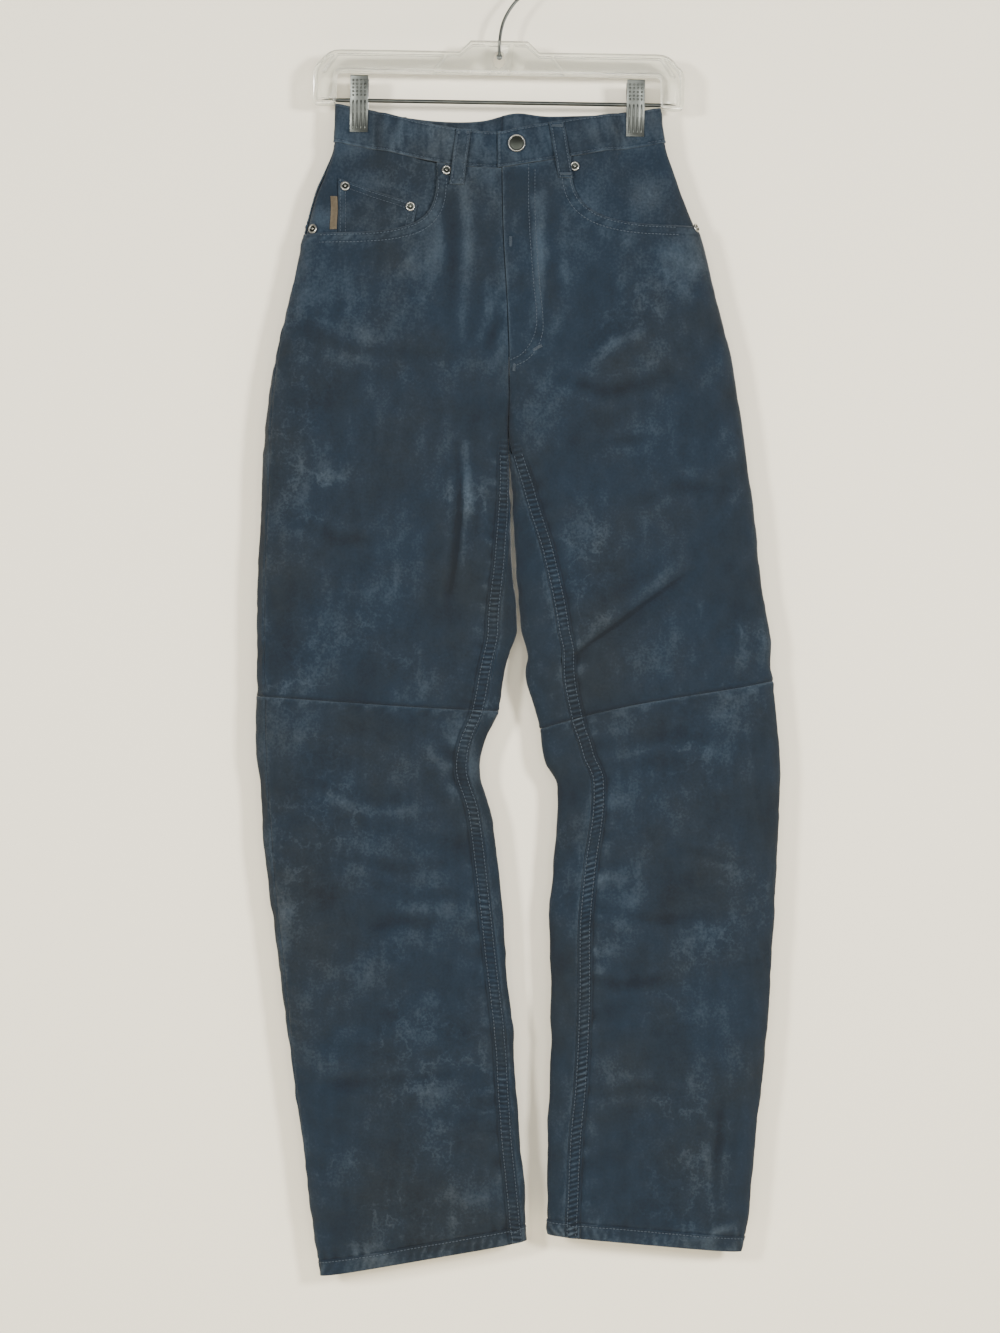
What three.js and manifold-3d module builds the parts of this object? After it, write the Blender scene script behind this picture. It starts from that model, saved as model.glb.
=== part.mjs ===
// Jean-cut leather trousers, held flat at the waist by a clip hanger.
// Millimetres, +Z up, -Y towards the front, +X to the wearer's left.
// The origin is the inside top of the hanger's hook, where a rail carries it.
import * as THREE from "three";
import { mergeVertices } from "three/addons/utils/BufferGeometryUtils.js";
import Module from "manifold-3d";

const wasm = await Module();
wasm.setup();

// Leather
const wallThick = 1.3;            // one layer of leather
const seamGap = 0.3;              // between neighbouring pieces
const bandLift = 1;               // waistband stands out from the panels
const bandThick = 3;              // waistband, two layers with their turnings
const hemBand = 15;               // height of the turned hem
const hemExtra = 1;               // the hem's second layer, turned inwards
const fellWidth = 10;             // felled strip beside the inseam
const fellLift = 0.7;
const pouchThick = 1;             // coin pocket and pocket facings

// Levels, in mm below the waistband seam at the centre front
const seamZ = -201.4;             // height of that seam
const bandTop = -34.2;
const crotchDown = 245.1;
const openRun = 75;               // the two legs merge into one tube over this height
const foldPower = 5;              // how square a leg's flattened section is
const waistPower = 8;
const backRise = 16;              // the back waist stands above the front one
const waistWave = { high: 5, x: 15, wide: 20, run: 45 };  // of the back waist, by the centre
const sagSkew = 1.6;              // a section sags most near its inner end
const pinchEnd = 60;              // the pinch fades out over this height below the waist
const pinchStart = -8;
const roundOff = 1.4;             // folds fade out towards a section's ends

// Each row is one slanting section of a leg: its inner end and its outer end, how far the
// outseam and the inseam lie in from these ends on the front (negative: on the back), the
// half depth of the flattened tube and the sag of the section's line.
const sectionColumns = ["down", "inner", "outer", "outerDown", "outseam", "inseam", "half", "sag"];
const sections = {
  right: table([
    [-34.2, 1.9, -155.8, -62.7, 0, 0, 10.5, 5],
    [0, 1.9, -157.1, -26.1, 0, 0, 12.5, 5.4],
    [28.5, 2.2, -176.2, 23.8, 0, 0, 15.5, 2],
    [66.5, 3.3, -187.1, 66.5, 0, 0, 18, 0],
    [109.2, 5.7, -196.6, 108.3, 0.5, 0, 20, 0],
    [156.8, 8.1, -208.5, 157.7, 1.4, 0, 20, 0],
    [207.1, 9, -219, 209.9, 4.8, 0, 19, 0],
    [245.1, 8.1, -224.2, 250.8, 7.1, 0, 18, 0],
    [308.8, 9.5, -227.7, 313.5, 8.5, 0.9, 17, 0],
    [370.5, 12.3, -230.5, 370.5, 8.5, 6.6, 16, 0],
    [435.1, 17.1, -231.8, 437, 8.5, 17.1, 15, 0],
    [466.4, 8.1, -232, 465.5, 8.8, 13.8, 15, 0],
    [513.9, -0.9, -231.5, 499.7, 9.2, 13.8, 14, 1],
    [537.7, -10.9, -231.6, 529.1, 9.5, 13.8, 14, 0],
    [567.1, -19.9, -230.3, 568.1, 9.5, 10.2, 13.5, 0],
    [609.9, -8.5, -227, 609.9, 9, 10.2, 13.5, 0],
    [669.8, -0.5, -220.4, 674.5, 7.1, 10.4, 13, 0],
    [760, 7.1, -209, 761.9, 5.2, 8.1, 12.5, 0],
    [831.2, 13.3, -199.5, 837.9, 2.8, 6.6, 12, 0],
    [912, 18.5, -188.1, 916.8, 0.5, 6.6, 12, 0],
    [973.8, 23.3, -177.7, 1002.2, -0.9, 5.2, 11.5, 0],
    [1016.5, 25.6, -170.3, 1050.2, -1.9, 3.8, 11, 0],
  ]),
  left: table([
    [-34.2, 1.9, 151.5, -58.4, -7.6, 0, 10.5, -2],
    [0, 1.9, 156.8, -25.4, -9.5, 0, 12.5, 0],
    [28.5, 2.2, 173.8, 21.8, -14.2, 0, 15.5, 0],
    [66.5, 3.3, 190, 63.6, -17.1, 0, 18, 0],
    [109.2, 5.7, 202.8, 109.2, -18.1, 0, 20, 0],
    [156.8, 8.1, 215.2, 157.7, -17.1, 0, 20, 0],
    [207.1, 9, 224.7, 207.1, -16.1, 0, 19, 0],
    [245.1, 8.1, 231.8, 254.6, -15.2, 0, 18, 0],
    [308.8, 10.9, 239.4, 313.5, -14.2, 11.4, 17, 0],
    [370.5, 14.1, 245.6, 370.5, -13.3, 26.6, 16, 0],
    [435.1, 19.5, 254.6, 435.1, -11.4, 34.2, 15, 0],
    [462.6, 26.1, 256.8, 454.1, -10.4, 32.3, 15, -1],
    [474, 24.2, 256.5, 467.4, -10.4, 34.2, 15, -2],
    [531, 38, 259.3, 485.4, -9.5, 28.5, 14, -5],
    [562.4, 42.8, 263.1, 524.4, -10.4, 33.7, 14, -3],
    [584.2, 53.2, 266.5, 565.2, -12.3, 33.2, 13.5, -2],
    [604.2, 54.1, 266.8, 598.5, -14.2, 32.3, 13.5, 0],
    [661.2, 50.3, 262.6, 661.2, -17.1, 28.5, 13, 0],
    [722, 46.5, 260.3, 722, -19, 27.1, 12.5, 0],
    [791.3, 48.1, 256.5, 791.3, -20.9, 25.2, 12, 0],
    [863.1, 47.2, 249.4, 863.1, -22.8, 22.8, 12, 0],
    [921.5, 44.8, 243.2, 921.5, -23.8, 19.9, 12, 0],
    [983.2, 43.9, 235.6, 1001.3, -24.7, 18.1, 11.5, 0],
    [1010.8, 45.1, 229.4, 1027, -25.6, 16.1, 11, 0],
  ]),
};

// The largest folds: a soft ridge (height above 0) or trough along a line on one face
const foldColumns = ["side", "face", "x1", "down1", "x2", "down2", "width", "height"];
const folds = [
  ["right", "front", -40, 240, -39, 335, 13, -2.5],
  ["right", "front", -39, 335, -53, 450, 13, -2.5],
  ["right", "front", -55, 10, -48, 150, 14, 2],
  ["right", "front", -120, 716, -65, 713, 12, -1.5],
  ["right", "front", -167, 866, -23, 854, 12, -1.5],
  ["right", "back", -110, 300, -40, 262, 14, -2.5],
  ["right", "back", -180, 500, -60, 470, 14, -3],
  ["right", "back", -170, 560, -70, 585, 14, -2],
  ["right", "back", -110, 800, -105, 960, 16, 2],
  ["left", "front", 66, 466, 178, 383, 11, -3.5],
  ["left", "front", 80, 194, 132, 156, 14, 2.5],
  ["left", "front", 57, 197, 158, 196, 13, -2],
  ["left", "front", 93, 262, 142, 256, 12, -1.5],
  ["left", "front", 211, 870, 202, 975, 12, -3],
  ["left", "front", 170, 640, 228, 660, 13, -1.5],
  ["left", "back", 45, 262, 120, 300, 14, -2.5],
  ["left", "back", 70, 470, 190, 505, 14, -3],
  ["left", "back", 90, 590, 200, 560, 14, -2],
  ["left", "back", 150, 790, 158, 950, 16, 2],
].map((row) => named(foldColumns, row));

// Pocket mouths: a quarter of a rounded rectangle about the corner of side and waist
const scoops = {
  right: { corner: -187, top: -9, across: 127.5, drop: 71, power: 4.3, end: -215 },
  left: { corner: 187, top: -12, across: -120, drop: 67, power: 3.3, end: 215 },
};
const facingTopDepth = 0.4;       // a facing's depth below the front's level at the waist seam
const coinNest = 0.9;             // the same between the coin pocket and its facing
const nest = 0.5;                 // more room between curved layers that lie in each other
const coinEdge = { x: -177, run: 9 };           // the facing deepens here for the coin pocket
const shallowEnd = { down: 2, run: 30 };        // and is shallow above this level, next to
const shallowSide = { away: 10, run: 20 };      // the mouth's upper end

// Hanger: an unturned outline about the hook's eye, then turned by its hang
const eye = new THREE.Vector3(-0.8, 0, -96.9);
const hangTilt = 0.93 * Math.PI / 180;
const hangerDeep = 10;
const hangerWeb = 3;
const flange = 3.4;
const barRadius = 1.9;
const barDrop = 40.6;             // below the eye
const barHalf = 168.2;
const hookWire = 1.5;
const hookRadius = 24;
const hookStart = -48;            // degrees round the bow where it leaves the shank
const hookEnd = 205;
const clipWide = 17;
const clips = { right: { x: -132.9 }, left: { x: 129.3 } };
const clipTall = 52.5;
const pinchDepth = 2.15;          // half the waist's depth between the jaws
const pinchFlat = 10;             // the pinch is flat this far either side of a clip's middle
const pinchRun = 16;

const colours = {
  leather: 0x3b4d5f, leatherShade: 0x3a4756, label: 0x6b4a34, steel: 0xb9bcc0,
  plastic: 0xe8ece8,
};

function named(columns, row) {
  return Object.fromEntries(columns.map((name, k) => [name, row[k]]));
}

function table(rows) {
  return rows.map((row) => named(sectionColumns, row));
}

function clamp01(t) {
  return Math.min(1, Math.max(0, t));
}

function ease(t) {
  const c = clamp01(t);
  return c * c * (3 - 2 * c);
}

function mix(a, b, t) {
  return a + (b - a) * t;
}

// One column of a table at a level, by cubic pieces whose slopes never overshoot
function read(rows, name, down) {
  const last = rows.length - 1;
  let k = 0;
  while (k < last - 1 && rows[k + 1].down < down) k++;
  const rise = (i) => (rows[i + 1][name] - rows[i][name]) / (rows[i + 1].down - rows[i].down);
  const slope = (i) => {
    if (i === 0) return rise(0);
    if (i === last) return rise(last - 1);
    const before = rise(i - 1);
    const after = rise(i);
    return before * after <= 0 ? 0 : 2 * before * after / (before + after);
  };
  const run = rows[k + 1].down - rows[k].down;
  const t = (down - rows[k].down) / run;
  const a = rows[k][name];
  const b = rows[k + 1][name];
  if (t < 0) return a + slope(k) * run * t;
  if (t > 1) return b + slope(k + 1) * run * (t - 1);
  const t2 = t * t;
  const t3 = t2 * t;
  return a * (2 * t3 - 3 * t2 + 1) + b * (3 * t2 - 2 * t3)
    + slope(k) * run * (t3 - 2 * t2 + t) + slope(k + 1) * run * (t3 - t2);
}

function section(side, down) {
  return named(sectionColumns, sectionColumns.map((name) => read(sections[side], name, down)));
}

// How far the waist is open at this level: 1 at the hips, 0 from the crotch down
function openness(down) {
  return ease((crotchDown - down) / openRun);
}

// Height of all folds of one face at a place
function foldHeight(side, face, x, down) {
  let height = 0;
  for (const f of folds) {
    if (f.side !== side || f.face !== face) continue;
    const dx = f.x2 - f.x1;
    const dz = f.down2 - f.down1;
    const along = ((x - f.x1) * dx + (down - f.down1) * dz) / (dx * dx + dz * dz);
    const near = clamp01(along);
    const apart = Math.hypot(x - f.x1 - near * dx, down - f.down1 - near * dz);
    height += f.height * Math.exp(-((apart / f.width) ** 2));
  }
  return height;
}

// A point of the leather's outer surface. turn goes round one leg's section: 0 at the inner
// fold or centre front, PI at the outer fold, 2 PI back at the inner fold or centre back.
function surface(side, turn, down) {
  const sign = side === "right" ? -1 : 1;
  const row = section(side, down);
  const open = openness(down);
  const front = turn <= Math.PI;
  const half = (front ? turn : 2 * Math.PI - turn) / 2;
  const bend = Math.abs(Math.sin(half));
  const s = mix(bend * bend, bend, open);
  const closed = Math.sqrt(Math.max(0, 1 - Math.abs(1 - 2 * s) ** foldPower));
  const hollow = Math.sqrt(Math.max(0, 1 - s ** waistPower));
  const inner = row.inner + sign * 0.2;
  const x = mix(inner, row.outer, s);
  let low = mix(row.down, row.outerDown, s);
  low += row.sag * sagSkew * Math.sin(Math.PI * s) * (1 - s);
  let deep = row.half * mix(closed, hollow, open);
  const held = 1 - ease((down - pinchStart) / pinchEnd);
  const run = pinchRun + Math.max(0, down - pinchStart) / 2;
  const beside = 1 - ease((Math.abs(x - clips[side].x) - pinchFlat) / run);
  deep = mix(deep, pinchDepth, held * beside);
  if (!front) {
    const high = 1 - ease((down - bandTop) / (crotchDown - bandTop));
    const wave = (1 - ease((down - bandTop) / waistWave.run)) * waistWave.high;
    low -= high * backRise * (1 - s) ** 1.5;
    low -= wave * Math.exp(-(((x - waistWave.x) / waistWave.wide) ** 2));
  }
  const soft = ease(deep / row.half * roundOff);
  deep += foldHeight(side, front ? "front" : "back", x, low) * soft;
  return new THREE.Vector3(x, front ? -deep : deep, seamZ - low);
}

// The surface's outward normal, from two short steps along it. An open section ends at the
// centre front and back, a closed one goes on round the inner fold.
function normal(side, turn, down) {
  const step = 0.02;
  const ring = 2 * Math.PI;
  const held = openness(down) > 0
    ? (t) => Math.min(ring, Math.max(0, t))
    : (t) => (t + ring) % ring;
  const before = surface(side, held(turn - step), down);
  const across = surface(side, held(turn + step), down).sub(before);
  const along = surface(side, turn, down + 1).sub(surface(side, turn, down - 1));
  const n = across.cross(along).normalize();
  return side === "left" ? n.negate() : n;
}

function moved(side, turn, down, lift) {
  return surface(side, turn, down).addScaledVector(normal(side, turn, down), lift);
}

// The turn at a distance in from the outer or inner end of a section, on either face
function turnAt(side, down, end, inset) {
  const row = section(side, down);
  const width = Math.abs(row.outer - row.inner);
  const part = clamp01((end === "outer" ? width - Math.abs(inset) : Math.abs(inset)) / width);
  const open = openness(down);
  let low = 0;
  let high = Math.PI;
  for (let k = 0; k < 40; k++) {
    const middle = (low + high) / 2;
    const bend = Math.sin(middle / 2);
    if (mix(bend * bend, bend, open) < part) low = middle;
    else high = middle;
  }
  return inset < 0 ? 2 * Math.PI - low : low;
}

// The turn that lies a given length of leather away from another one
function walk(side, down, turn, length) {
  const start = surface(side, turn, down);
  let near = 0;
  let far = 1.2;
  for (let k = 0; k < 30; k++) {
    const middle = (near + far) / 2;
    const reach = surface(side, turn + Math.sign(length) * middle, down).distanceTo(start);
    if (reach < Math.abs(length)) near = middle;
    else far = middle;
  }
  return turn + Math.sign(length) * near;
}

// A closed wall between an outer and an inner grid of points, nu by nv cells
function wall(nu, nv, outer, inner) {
  const points = [];
  for (const face of [outer, inner]) {
    for (let j = 0; j <= nv; j++) for (let i = 0; i <= nu; i++) points.push(...face(i, j));
  }
  const layer = (nu + 1) * (nv + 1);
  const at = (k, i, j) => k * layer + j * (nu + 1) + i;
  const index = [];
  const quad = (a, b, c, d) => index.push(a, b, c, a, c, d);
  for (let j = 0; j < nv; j++) {
    for (let i = 0; i < nu; i++) {
      quad(at(0, i, j), at(0, i + 1, j), at(0, i + 1, j + 1), at(0, i, j + 1));
      quad(at(1, i, j), at(1, i, j + 1), at(1, i + 1, j + 1), at(1, i + 1, j));
    }
  }
  for (let i = 0; i < nu; i++) {
    quad(at(0, i, 0), at(1, i, 0), at(1, i + 1, 0), at(0, i + 1, 0));
    quad(at(0, i, nv), at(0, i + 1, nv), at(1, i + 1, nv), at(1, i, nv));
  }
  for (let j = 0; j < nv; j++) {
    quad(at(0, 0, j), at(0, 0, j + 1), at(1, 0, j + 1), at(1, 0, j));
    quad(at(0, nu, j), at(1, nu, j), at(1, nu, j + 1), at(0, nu, j + 1));
  }
  return outward(new Float32Array(points), index);
}

// A geometry from points and triangles, turned so that its faces point out
function outward(points, index) {
  const a = new THREE.Vector3();
  const b = new THREE.Vector3();
  const c = new THREE.Vector3();
  let volume = 0;
  for (let k = 0; k < index.length; k += 3) {
    a.fromArray(points, index[k] * 3);
    b.fromArray(points, index[k + 1] * 3);
    c.fromArray(points, index[k + 2] * 3);
    volume += a.dot(b.cross(c));
  }
  const turned = [];
  for (let k = 0; k < index.length; k += 3) {
    const [second, third] = volume < 0 ? [k + 2, k + 1] : [k + 1, k + 2];
    turned.push(index[k], index[second], index[third]);
  }
  const geometry = new THREE.BufferGeometry();
  geometry.setAttribute("position", new THREE.BufferAttribute(points, 3));
  geometry.setIndex(turned);
  return geometry;
}

function solid(geometry) {
  const bare = geometry.clone();
  bare.deleteAttribute("normal");
  bare.deleteAttribute("uv");
  const merged = mergeVertices(bare, 1e-4);
  return new wasm.Manifold(new wasm.Mesh({
    numProp: 3,
    vertProperties: merged.attributes.position.array,
    triVerts: new Uint32Array(merged.index.array),
  }));
}

function fromSolid(body) {
  const mesh = body.getMesh();
  const geometry = new THREE.BufferGeometry();
  geometry.setAttribute("position", new THREE.BufferAttribute(mesh.vertProperties, 3));
  geometry.setIndex(Array.from(mesh.triVerts));
  return geometry;
}

const group = new THREE.Group();

function add(name, geometry, colour, roughness, metalness = 0) {
  const material = new THREE.MeshStandardMaterial({ color: colour, roughness, metalness });
  const mesh = new THREE.Mesh(geometry, material);
  mesh.name = name;
  group.add(mesh);
  return mesh;
}

// Levels added where the pocket facings have rows, since these nest in the fronts
const hipLevels = [14, 48, 84];

// The levels between two seams where a panel has a row of points
function levels(side, from, to) {
  const rows = [...sections[side].map((row) => row.down), ...hipLevels].sort((a, b) => a - b);
  const inside = rows.filter((d) => d > from + 8 && d < to - 8);
  const all = [from, ...inside, to];
  const out = [from];
  for (let k = 1; k < all.length; k++) {
    if (all[k] - all[k - 1] > 45) out.push((all[k] + all[k - 1]) / 2);
    out.push(all[k]);
  }
  return out;
}

const panelCells = 12;

// Where a panel's columns of points lie round the section: from the inseam to the outseam on
// the front, where the felled strip has its own two columns, and on to the inseam at the back
function columnTurns(side, face, down) {
  const row = section(side, down);
  const inseam = turnAt(side, down, "inner", row.inseam);
  const outseam = turnAt(side, down, "outer", row.outseam);
  const first = walk(side, down, face === "front" ? inseam : outseam, seamGap / 2);
  const last = walk(side, down, face === "front" ? outseam : 2 * Math.PI + inseam, -seamGap / 2);
  if (face === "back") return split(first, last, panelCells);
  const edge = walk(side, down, first, fellWidth);
  return [first, edge, ...split(walk(side, down, edge, 1), last, panelCells)];
}

function split(from, to, parts) {
  return Array.from({ length: parts + 1 }, (_, k) => mix(from, to, k / parts));
}

// One cut panel between two levels; top and bottom move its edges along a sloping seam
function panel(side, face, from, to, { top = () => 0, bottom = () => 0, hem = false } = {}) {
  const rows = levels(side, from, to);
  if (hem) rows.splice(rows.length - 1, 0, to - hemBand - 1, to - hemBand);
  const front = face === "front";
  const columns = panelCells + (front ? 2 : 0);
  const level = (i, j) => {
    const u = i / columns;
    const part = (rows[j] - from) / (to - from);
    return rows[j] + mix(top(u), bottom(u), part) + mix(seamGap, -seamGap, part) * 0.7;
  };
  const at = (lift) => (i, j) => {
    const down = level(i, j);
    return moved(side, columnTurns(side, face, down)[i], down, lift(i, j, down));
  };
  const raised = (i, j, down) => (front && i <= 1 ? fellLift * ease((down - crotchDown) / 40) : 0);
  const sunk = (i, j) => -wallThick - (hem && j >= rows.length - 2 ? hemExtra : 0);
  return wall(columns, rows.length - 1, at(raised), at(sunk));
}

// The place on the front or back surface whose X and level are given
function locate(side, face, x, low) {
  let from = bandTop - 30;
  let to = 1080;
  let turn = 0;
  let down = 0;
  for (let k = 0; k < 40; k++) {
    down = (from + to) / 2;
    const row = section(side, down);
    const wide = row.outer - row.inner;
    const inset = clamp01((x - row.inner) / wide) * Math.abs(wide);
    turn = turnAt(side, down, "inner", inset);
    if (face === "back") turn = 2 * Math.PI - turn;
    if (seamZ - surface(side, turn, down).z < low) from = down;
    else to = down;
  }
  return [turn, down];
}

// A flat cut piece laid on the surface: spot gives X and level, lift its height at a cell
function laid(side, face, nu, nv, spot, lift, thick) {
  const pick = (i, j) => locate(side, face, ...spot(i / nu, j / nv));
  const outer = (i, j) => moved(side, ...pick(i, j), lift(i / nu, j / nv));
  const inner = (i, j) => moved(side, ...pick(i, j), lift(i / nu, j / nv) - thick);
  return wall(nu, nv, outer, inner);
}

// The mouth's edge at a part of its length, from the waist round to the side
function mouthPoint(side, part, grow = 0) {
  const mouth = scoops[side];
  const angle = part * Math.PI / 2;
  const sign = Math.sign(mouth.across);
  const across = mouth.across + sign * grow;
  return [
    mouth.corner + across * Math.cos(angle) ** (2 / mouth.power),
    mouth.top + (mouth.drop + grow) * Math.sin(angle) ** (2 / mouth.power),
  ];
}

// A block through the front of the leather with the outline of a pocket mouth
function mouthCutter(side) {
  const mouth = scoops[side];
  const outline = new THREE.Shape();
  const steps = 14;
  for (let k = 0; k <= steps; k++) {
    const [x, low] = mouthPoint(side, k / steps);
    if (k === 0) outline.moveTo(x, seamZ + 60);
    outline.lineTo(x, seamZ - low);
  }
  const [, side_low] = mouthPoint(side, 1);
  outline.lineTo(mouth.end, seamZ - side_low + 5);
  outline.lineTo(mouth.end, seamZ + 60);
  const block = new THREE.ExtrudeGeometry(outline, { depth: 120, bevelEnabled: false });
  block.rotateX(Math.PI / 2);
  block.translate(0, 60, 0);
  return solid(block);
}

// The depth of a pocket facing below the surface: deepest behind the coin pocket, and level
// with the front where it meets the waistband inside the mouth
function facingDepth(side, x, down) {
  const mouth = scoops[side];
  const plain = wallThick + seamGap + nest;
  const behindCoin = side === "right" ? ease((x - coinEdge.x) / coinEdge.run) : 0;
  const past = Math.abs(x - mouth.corner - mouth.across);
  const above = 1 - ease((down - shallowEnd.down) / shallowEnd.run);
  const shallow = above * ease((past - shallowSide.away) / shallowSide.run);
  return mix(plain + (pouchThick + seamGap + coinNest) * behindCoin, facingTopDepth, shallow);
}

const kneeLevel = { right: 513.9, left: 531 };
const hemLevel = { right: 1016.5, left: 1010.8 };
const yokeSide = 52;
const yokeCentre = 92;
const yokeCurve = 0.6;            // how much of the seam's drop is a curve, not straight

function yokeSeam(u) {
  return mix(yokeSide, yokeCentre, ease(u * 1.15) * yokeCurve + u * (1 - yokeCurve));
}

for (const side of ["right", "left"]) {
  const knee = kneeLevel[side];
  const hem = hemLevel[side];
  const front = solid(panel(side, "front", 0, knee)).subtract(mouthCutter(side));
  add(`front_thigh_${side}`, fromSolid(front), colours.leather, 0.85);
  add(`front_calf_${side}`, panel(side, "front", knee, hem, { hem: true }), colours.leather, 0.85);
  add(`back_yoke_${side}`, panel(side, "back", 0, yokeSide, {
    bottom: (u) => yokeSeam(u) - yokeSide,
  }), colours.leather, 0.85);
  add(`back_thigh_${side}`, panel(side, "back", yokeSide, knee, {
    top: (u) => yokeSeam(u) - yokeSide,
  }), colours.leather, 0.85);
  add(`back_calf_${side}`, panel(side, "back", knee, hem, { hem: true }), colours.leather, 0.85);
}

// Waistband: each half runs from the centre back round its side to the lap at the front,
// where the other side's surface carries its end
const lapEnd = { right: 26, left: -2 };
const lapRise = 1.5;              // the upper end stands out by this much more
const lapSink = 1.8;              // the lower end lies in by this much
const lapStep = { sinkFrom: -26, sinkRun: 20, riseFrom: 3, riseRun: 14 };
const bandParts = [0, 0.22, 0.44, 0.62];        // of the way from the centre to the clip
const besideClip = [26, 17, pinchFlat, -pinchFlat];

// Turns of one half from the centre to the side fold, with a flat for the clip's jaws
function bandTurns(side, level) {
  const centre = read(sections[side], "inner", level);
  const clip = Math.abs(clips[side].x - centre);
  const insets = bandParts.map((part) => part * clip);
  insets.push(...besideClip.map((away) => clip - away));
  const turns = insets.map((inset) => turnAt(side, level, "inner", inset));
  return [...turns, ...split(turns[turns.length - 1], Math.PI, 4).slice(1)];
}

function waistband(side) {
  const other = side === "right" ? "left" : "right";
  const sign = side === "right" ? -1 : 1;
  const centre = sections[side][0].inner;
  const end = lapEnd[side];
  const tail = [centre + sign * 14, centre + sign * 5, centre - sign, mix(centre, end, 0.5), end];
  const heights = [bandTop, bandTop / 2, -seamGap];
  const ring = heights.map((level) => {
    const turns = bandTurns(side, level);
    const back = turns.map((turn) => 2 * Math.PI - turn);
    back[0] = walk(side, level, back[0], -seamGap / 2);
    return [...back, ...turns.slice(1, -1).reverse()];
  });
  const around = ring[0].length;
  const spot = (i, j) => {
    const level = heights[j];
    if (i < around) return { who: side, turn: ring[j][i], x: surface(side, ring[j][i], level).x };
    const x = tail[i - around];
    const who = (x - centre) * sign > 0 ? side : other;
    const inset = Math.abs(x - section(who, level).inner);
    return { who, turn: turnAt(who, level, "inner", inset), x };
  };
  const rise = (x, i) => {
    if (i < around / 2) return 0;
    if (side === "right") return -lapSink * ease((x - lapStep.sinkFrom) / lapStep.sinkRun);
    return lapRise * (1 - ease((x - lapEnd.right - lapStep.riseFrom) / lapStep.riseRun));
  };
  const at = (lift) => (i, j) => {
    const { who, turn, x } = spot(i, j);
    return moved(who, turn, heights[j], bandLift + rise(x, i) + lift);
  };
  return wall(around + tail.length - 1, heights.length - 1, at(0), at(-bandThick));
}

for (const side of ["right", "left"]) {
  add(`waistband_${side}`, waistband(side), colours.leather, 0.8);
}

// Fly facing: a strip behind both front edges, down to the end of the fly's stitching
const flyReach = { from: -10, foot: 8, to: 38, top: 4, end: 180, curve: 140, curveRun: 52 };
const flyLean = 0.03;             // its edge leans to the left going down
const flyNest = 0.6;
{
  const behind = -(wallThick + seamGap + flyNest);
  const spot = (u, w) => {
    const low = mix(flyReach.top, flyReach.end, w);
    const round = Math.sqrt(1 - clamp01((low - flyReach.curve) / flyReach.curveRun) ** 2);
    const edge = mix(flyReach.foot, flyReach.to, round);
    return [mix(flyReach.from, edge, u) + low * flyLean, low];
  };
  add("fly_facing", crossing(spot, behind, wallThick, 8, 9), colours.leather, 0.85);
}

// A piece laid across the centre front: each point lies on the side that it is over
function crossing(spot, lift, thick, nu, nv) {
  const pick = (i, j) => {
    const [x, low] = spot(i / nu, j / nv);
    const centre = read(sections.right, "inner", clamp01(low / 300) * 300);
    const side = x > centre ? "left" : "right";
    return [side, ...locate(side, "front", x, low)];
  };
  const at = (height) => (i, j) => moved(...pick(i, j), height);
  return wall(nu, nv, at(lift), at(lift - thick));
}

// Pocket facings: the hip pieces behind the mouths, from the waistband seam to the side seam.
// They follow the front panel's own columns, so that they nest in it.
const facingStart = 4;            // the front panel's column where a facing begins
const facingRows = [0.2, 14, 28.5, 48, 66.5, 84];

function pocketFacing(side) {
  const place = (i, j) => {
    const turns = columnTurns(side, "front", facingRows[j]).slice(facingStart);
    const last = i === turns.length - 1;
    return [last ? walk(side, facingRows[j], turns[i], -seamGap) : turns[i], facingRows[j]];
  };
  const at = (extra) => (i, j) => {
    const [turn, down] = place(i, j);
    return moved(side, turn, down, -facingDepth(side, surface(side, turn, down).x, down) - extra);
  };
  const columns = panelCells + 2 - facingStart;
  return wall(columns, facingRows.length - 1, at(0), at(pouchThick));
}

for (const side of ["right", "left"]) {
  add(`pocket_facing_${side}`, pocketFacing(side), colours.leatherShade, 0.85);
}

// Coin pocket: corners in X and level, its foot tucked behind the front
const coin = {
  topSide: [-153, 9], topCentre: [-78, 35.5], footCentre: [-84, 66], footSide: [-153, 68],
};

function onFacing(x, low, thick) {
  return -facingDepth("right", x, low) + seamGap + coinNest + thick;
}

function coinSpot(u, w) {
  const corner = (a, b, t) => [mix(a[0], b[0], t), mix(a[1], b[1], t)];
  const top = corner(coin.topSide, coin.topCentre, u);
  return corner(top, corner(coin.footSide, coin.footCentre, u), w);
}

add("coin_pocket", laid("right", "front", 8, 5, coinSpot,
  (u, w) => onFacing(...coinSpot(u, w), pouchThick), pouchThick), colours.leather, 0.85);

// Side label: a bare folded tab at the coin pocket's edge
const tag = { from: -161, to: -154.2, top: 25.6, foot: 58, thick: 0.8 };
{
  const spot = (u, w) => [mix(tag.from, tag.to, u), mix(tag.top, tag.foot, w)];
  const lift = (u, w) => tag.thick + seamGap - facingDepth("right", ...spot(u, w));
  add("side_label", laid("right", "front", 2, 4, spot, lift, tag.thick), colours.label, 0.7);
}

// Belt loops: strips sewn at both ends, standing off the waistband between them
const loopWide = 13.8;
const loopThick = 2.2;
const loopTall = 53;
const loopColumns = ["name", "side", "face", "xTop", "xFoot", "top"];
const loops = [
  ["front_right", "right", "front", -34.2, -41, -36],
  ["front_left", "left", "front", 53.2, 62.1, -42.5],
  ["side_right", "right", "back", -96, -100, -56],
  ["side_left", "left", "back", 94, 98, -56],
  ["back", "left", "back", 12, 12, -52],
].map((row) => named(loopColumns, row));
const loopLifts = [[0, 1.6], [0.12, 1.8], [0.35, 2.6], [0.74, 2.6], [0.88, 1.3], [1, 0.8]];

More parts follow.
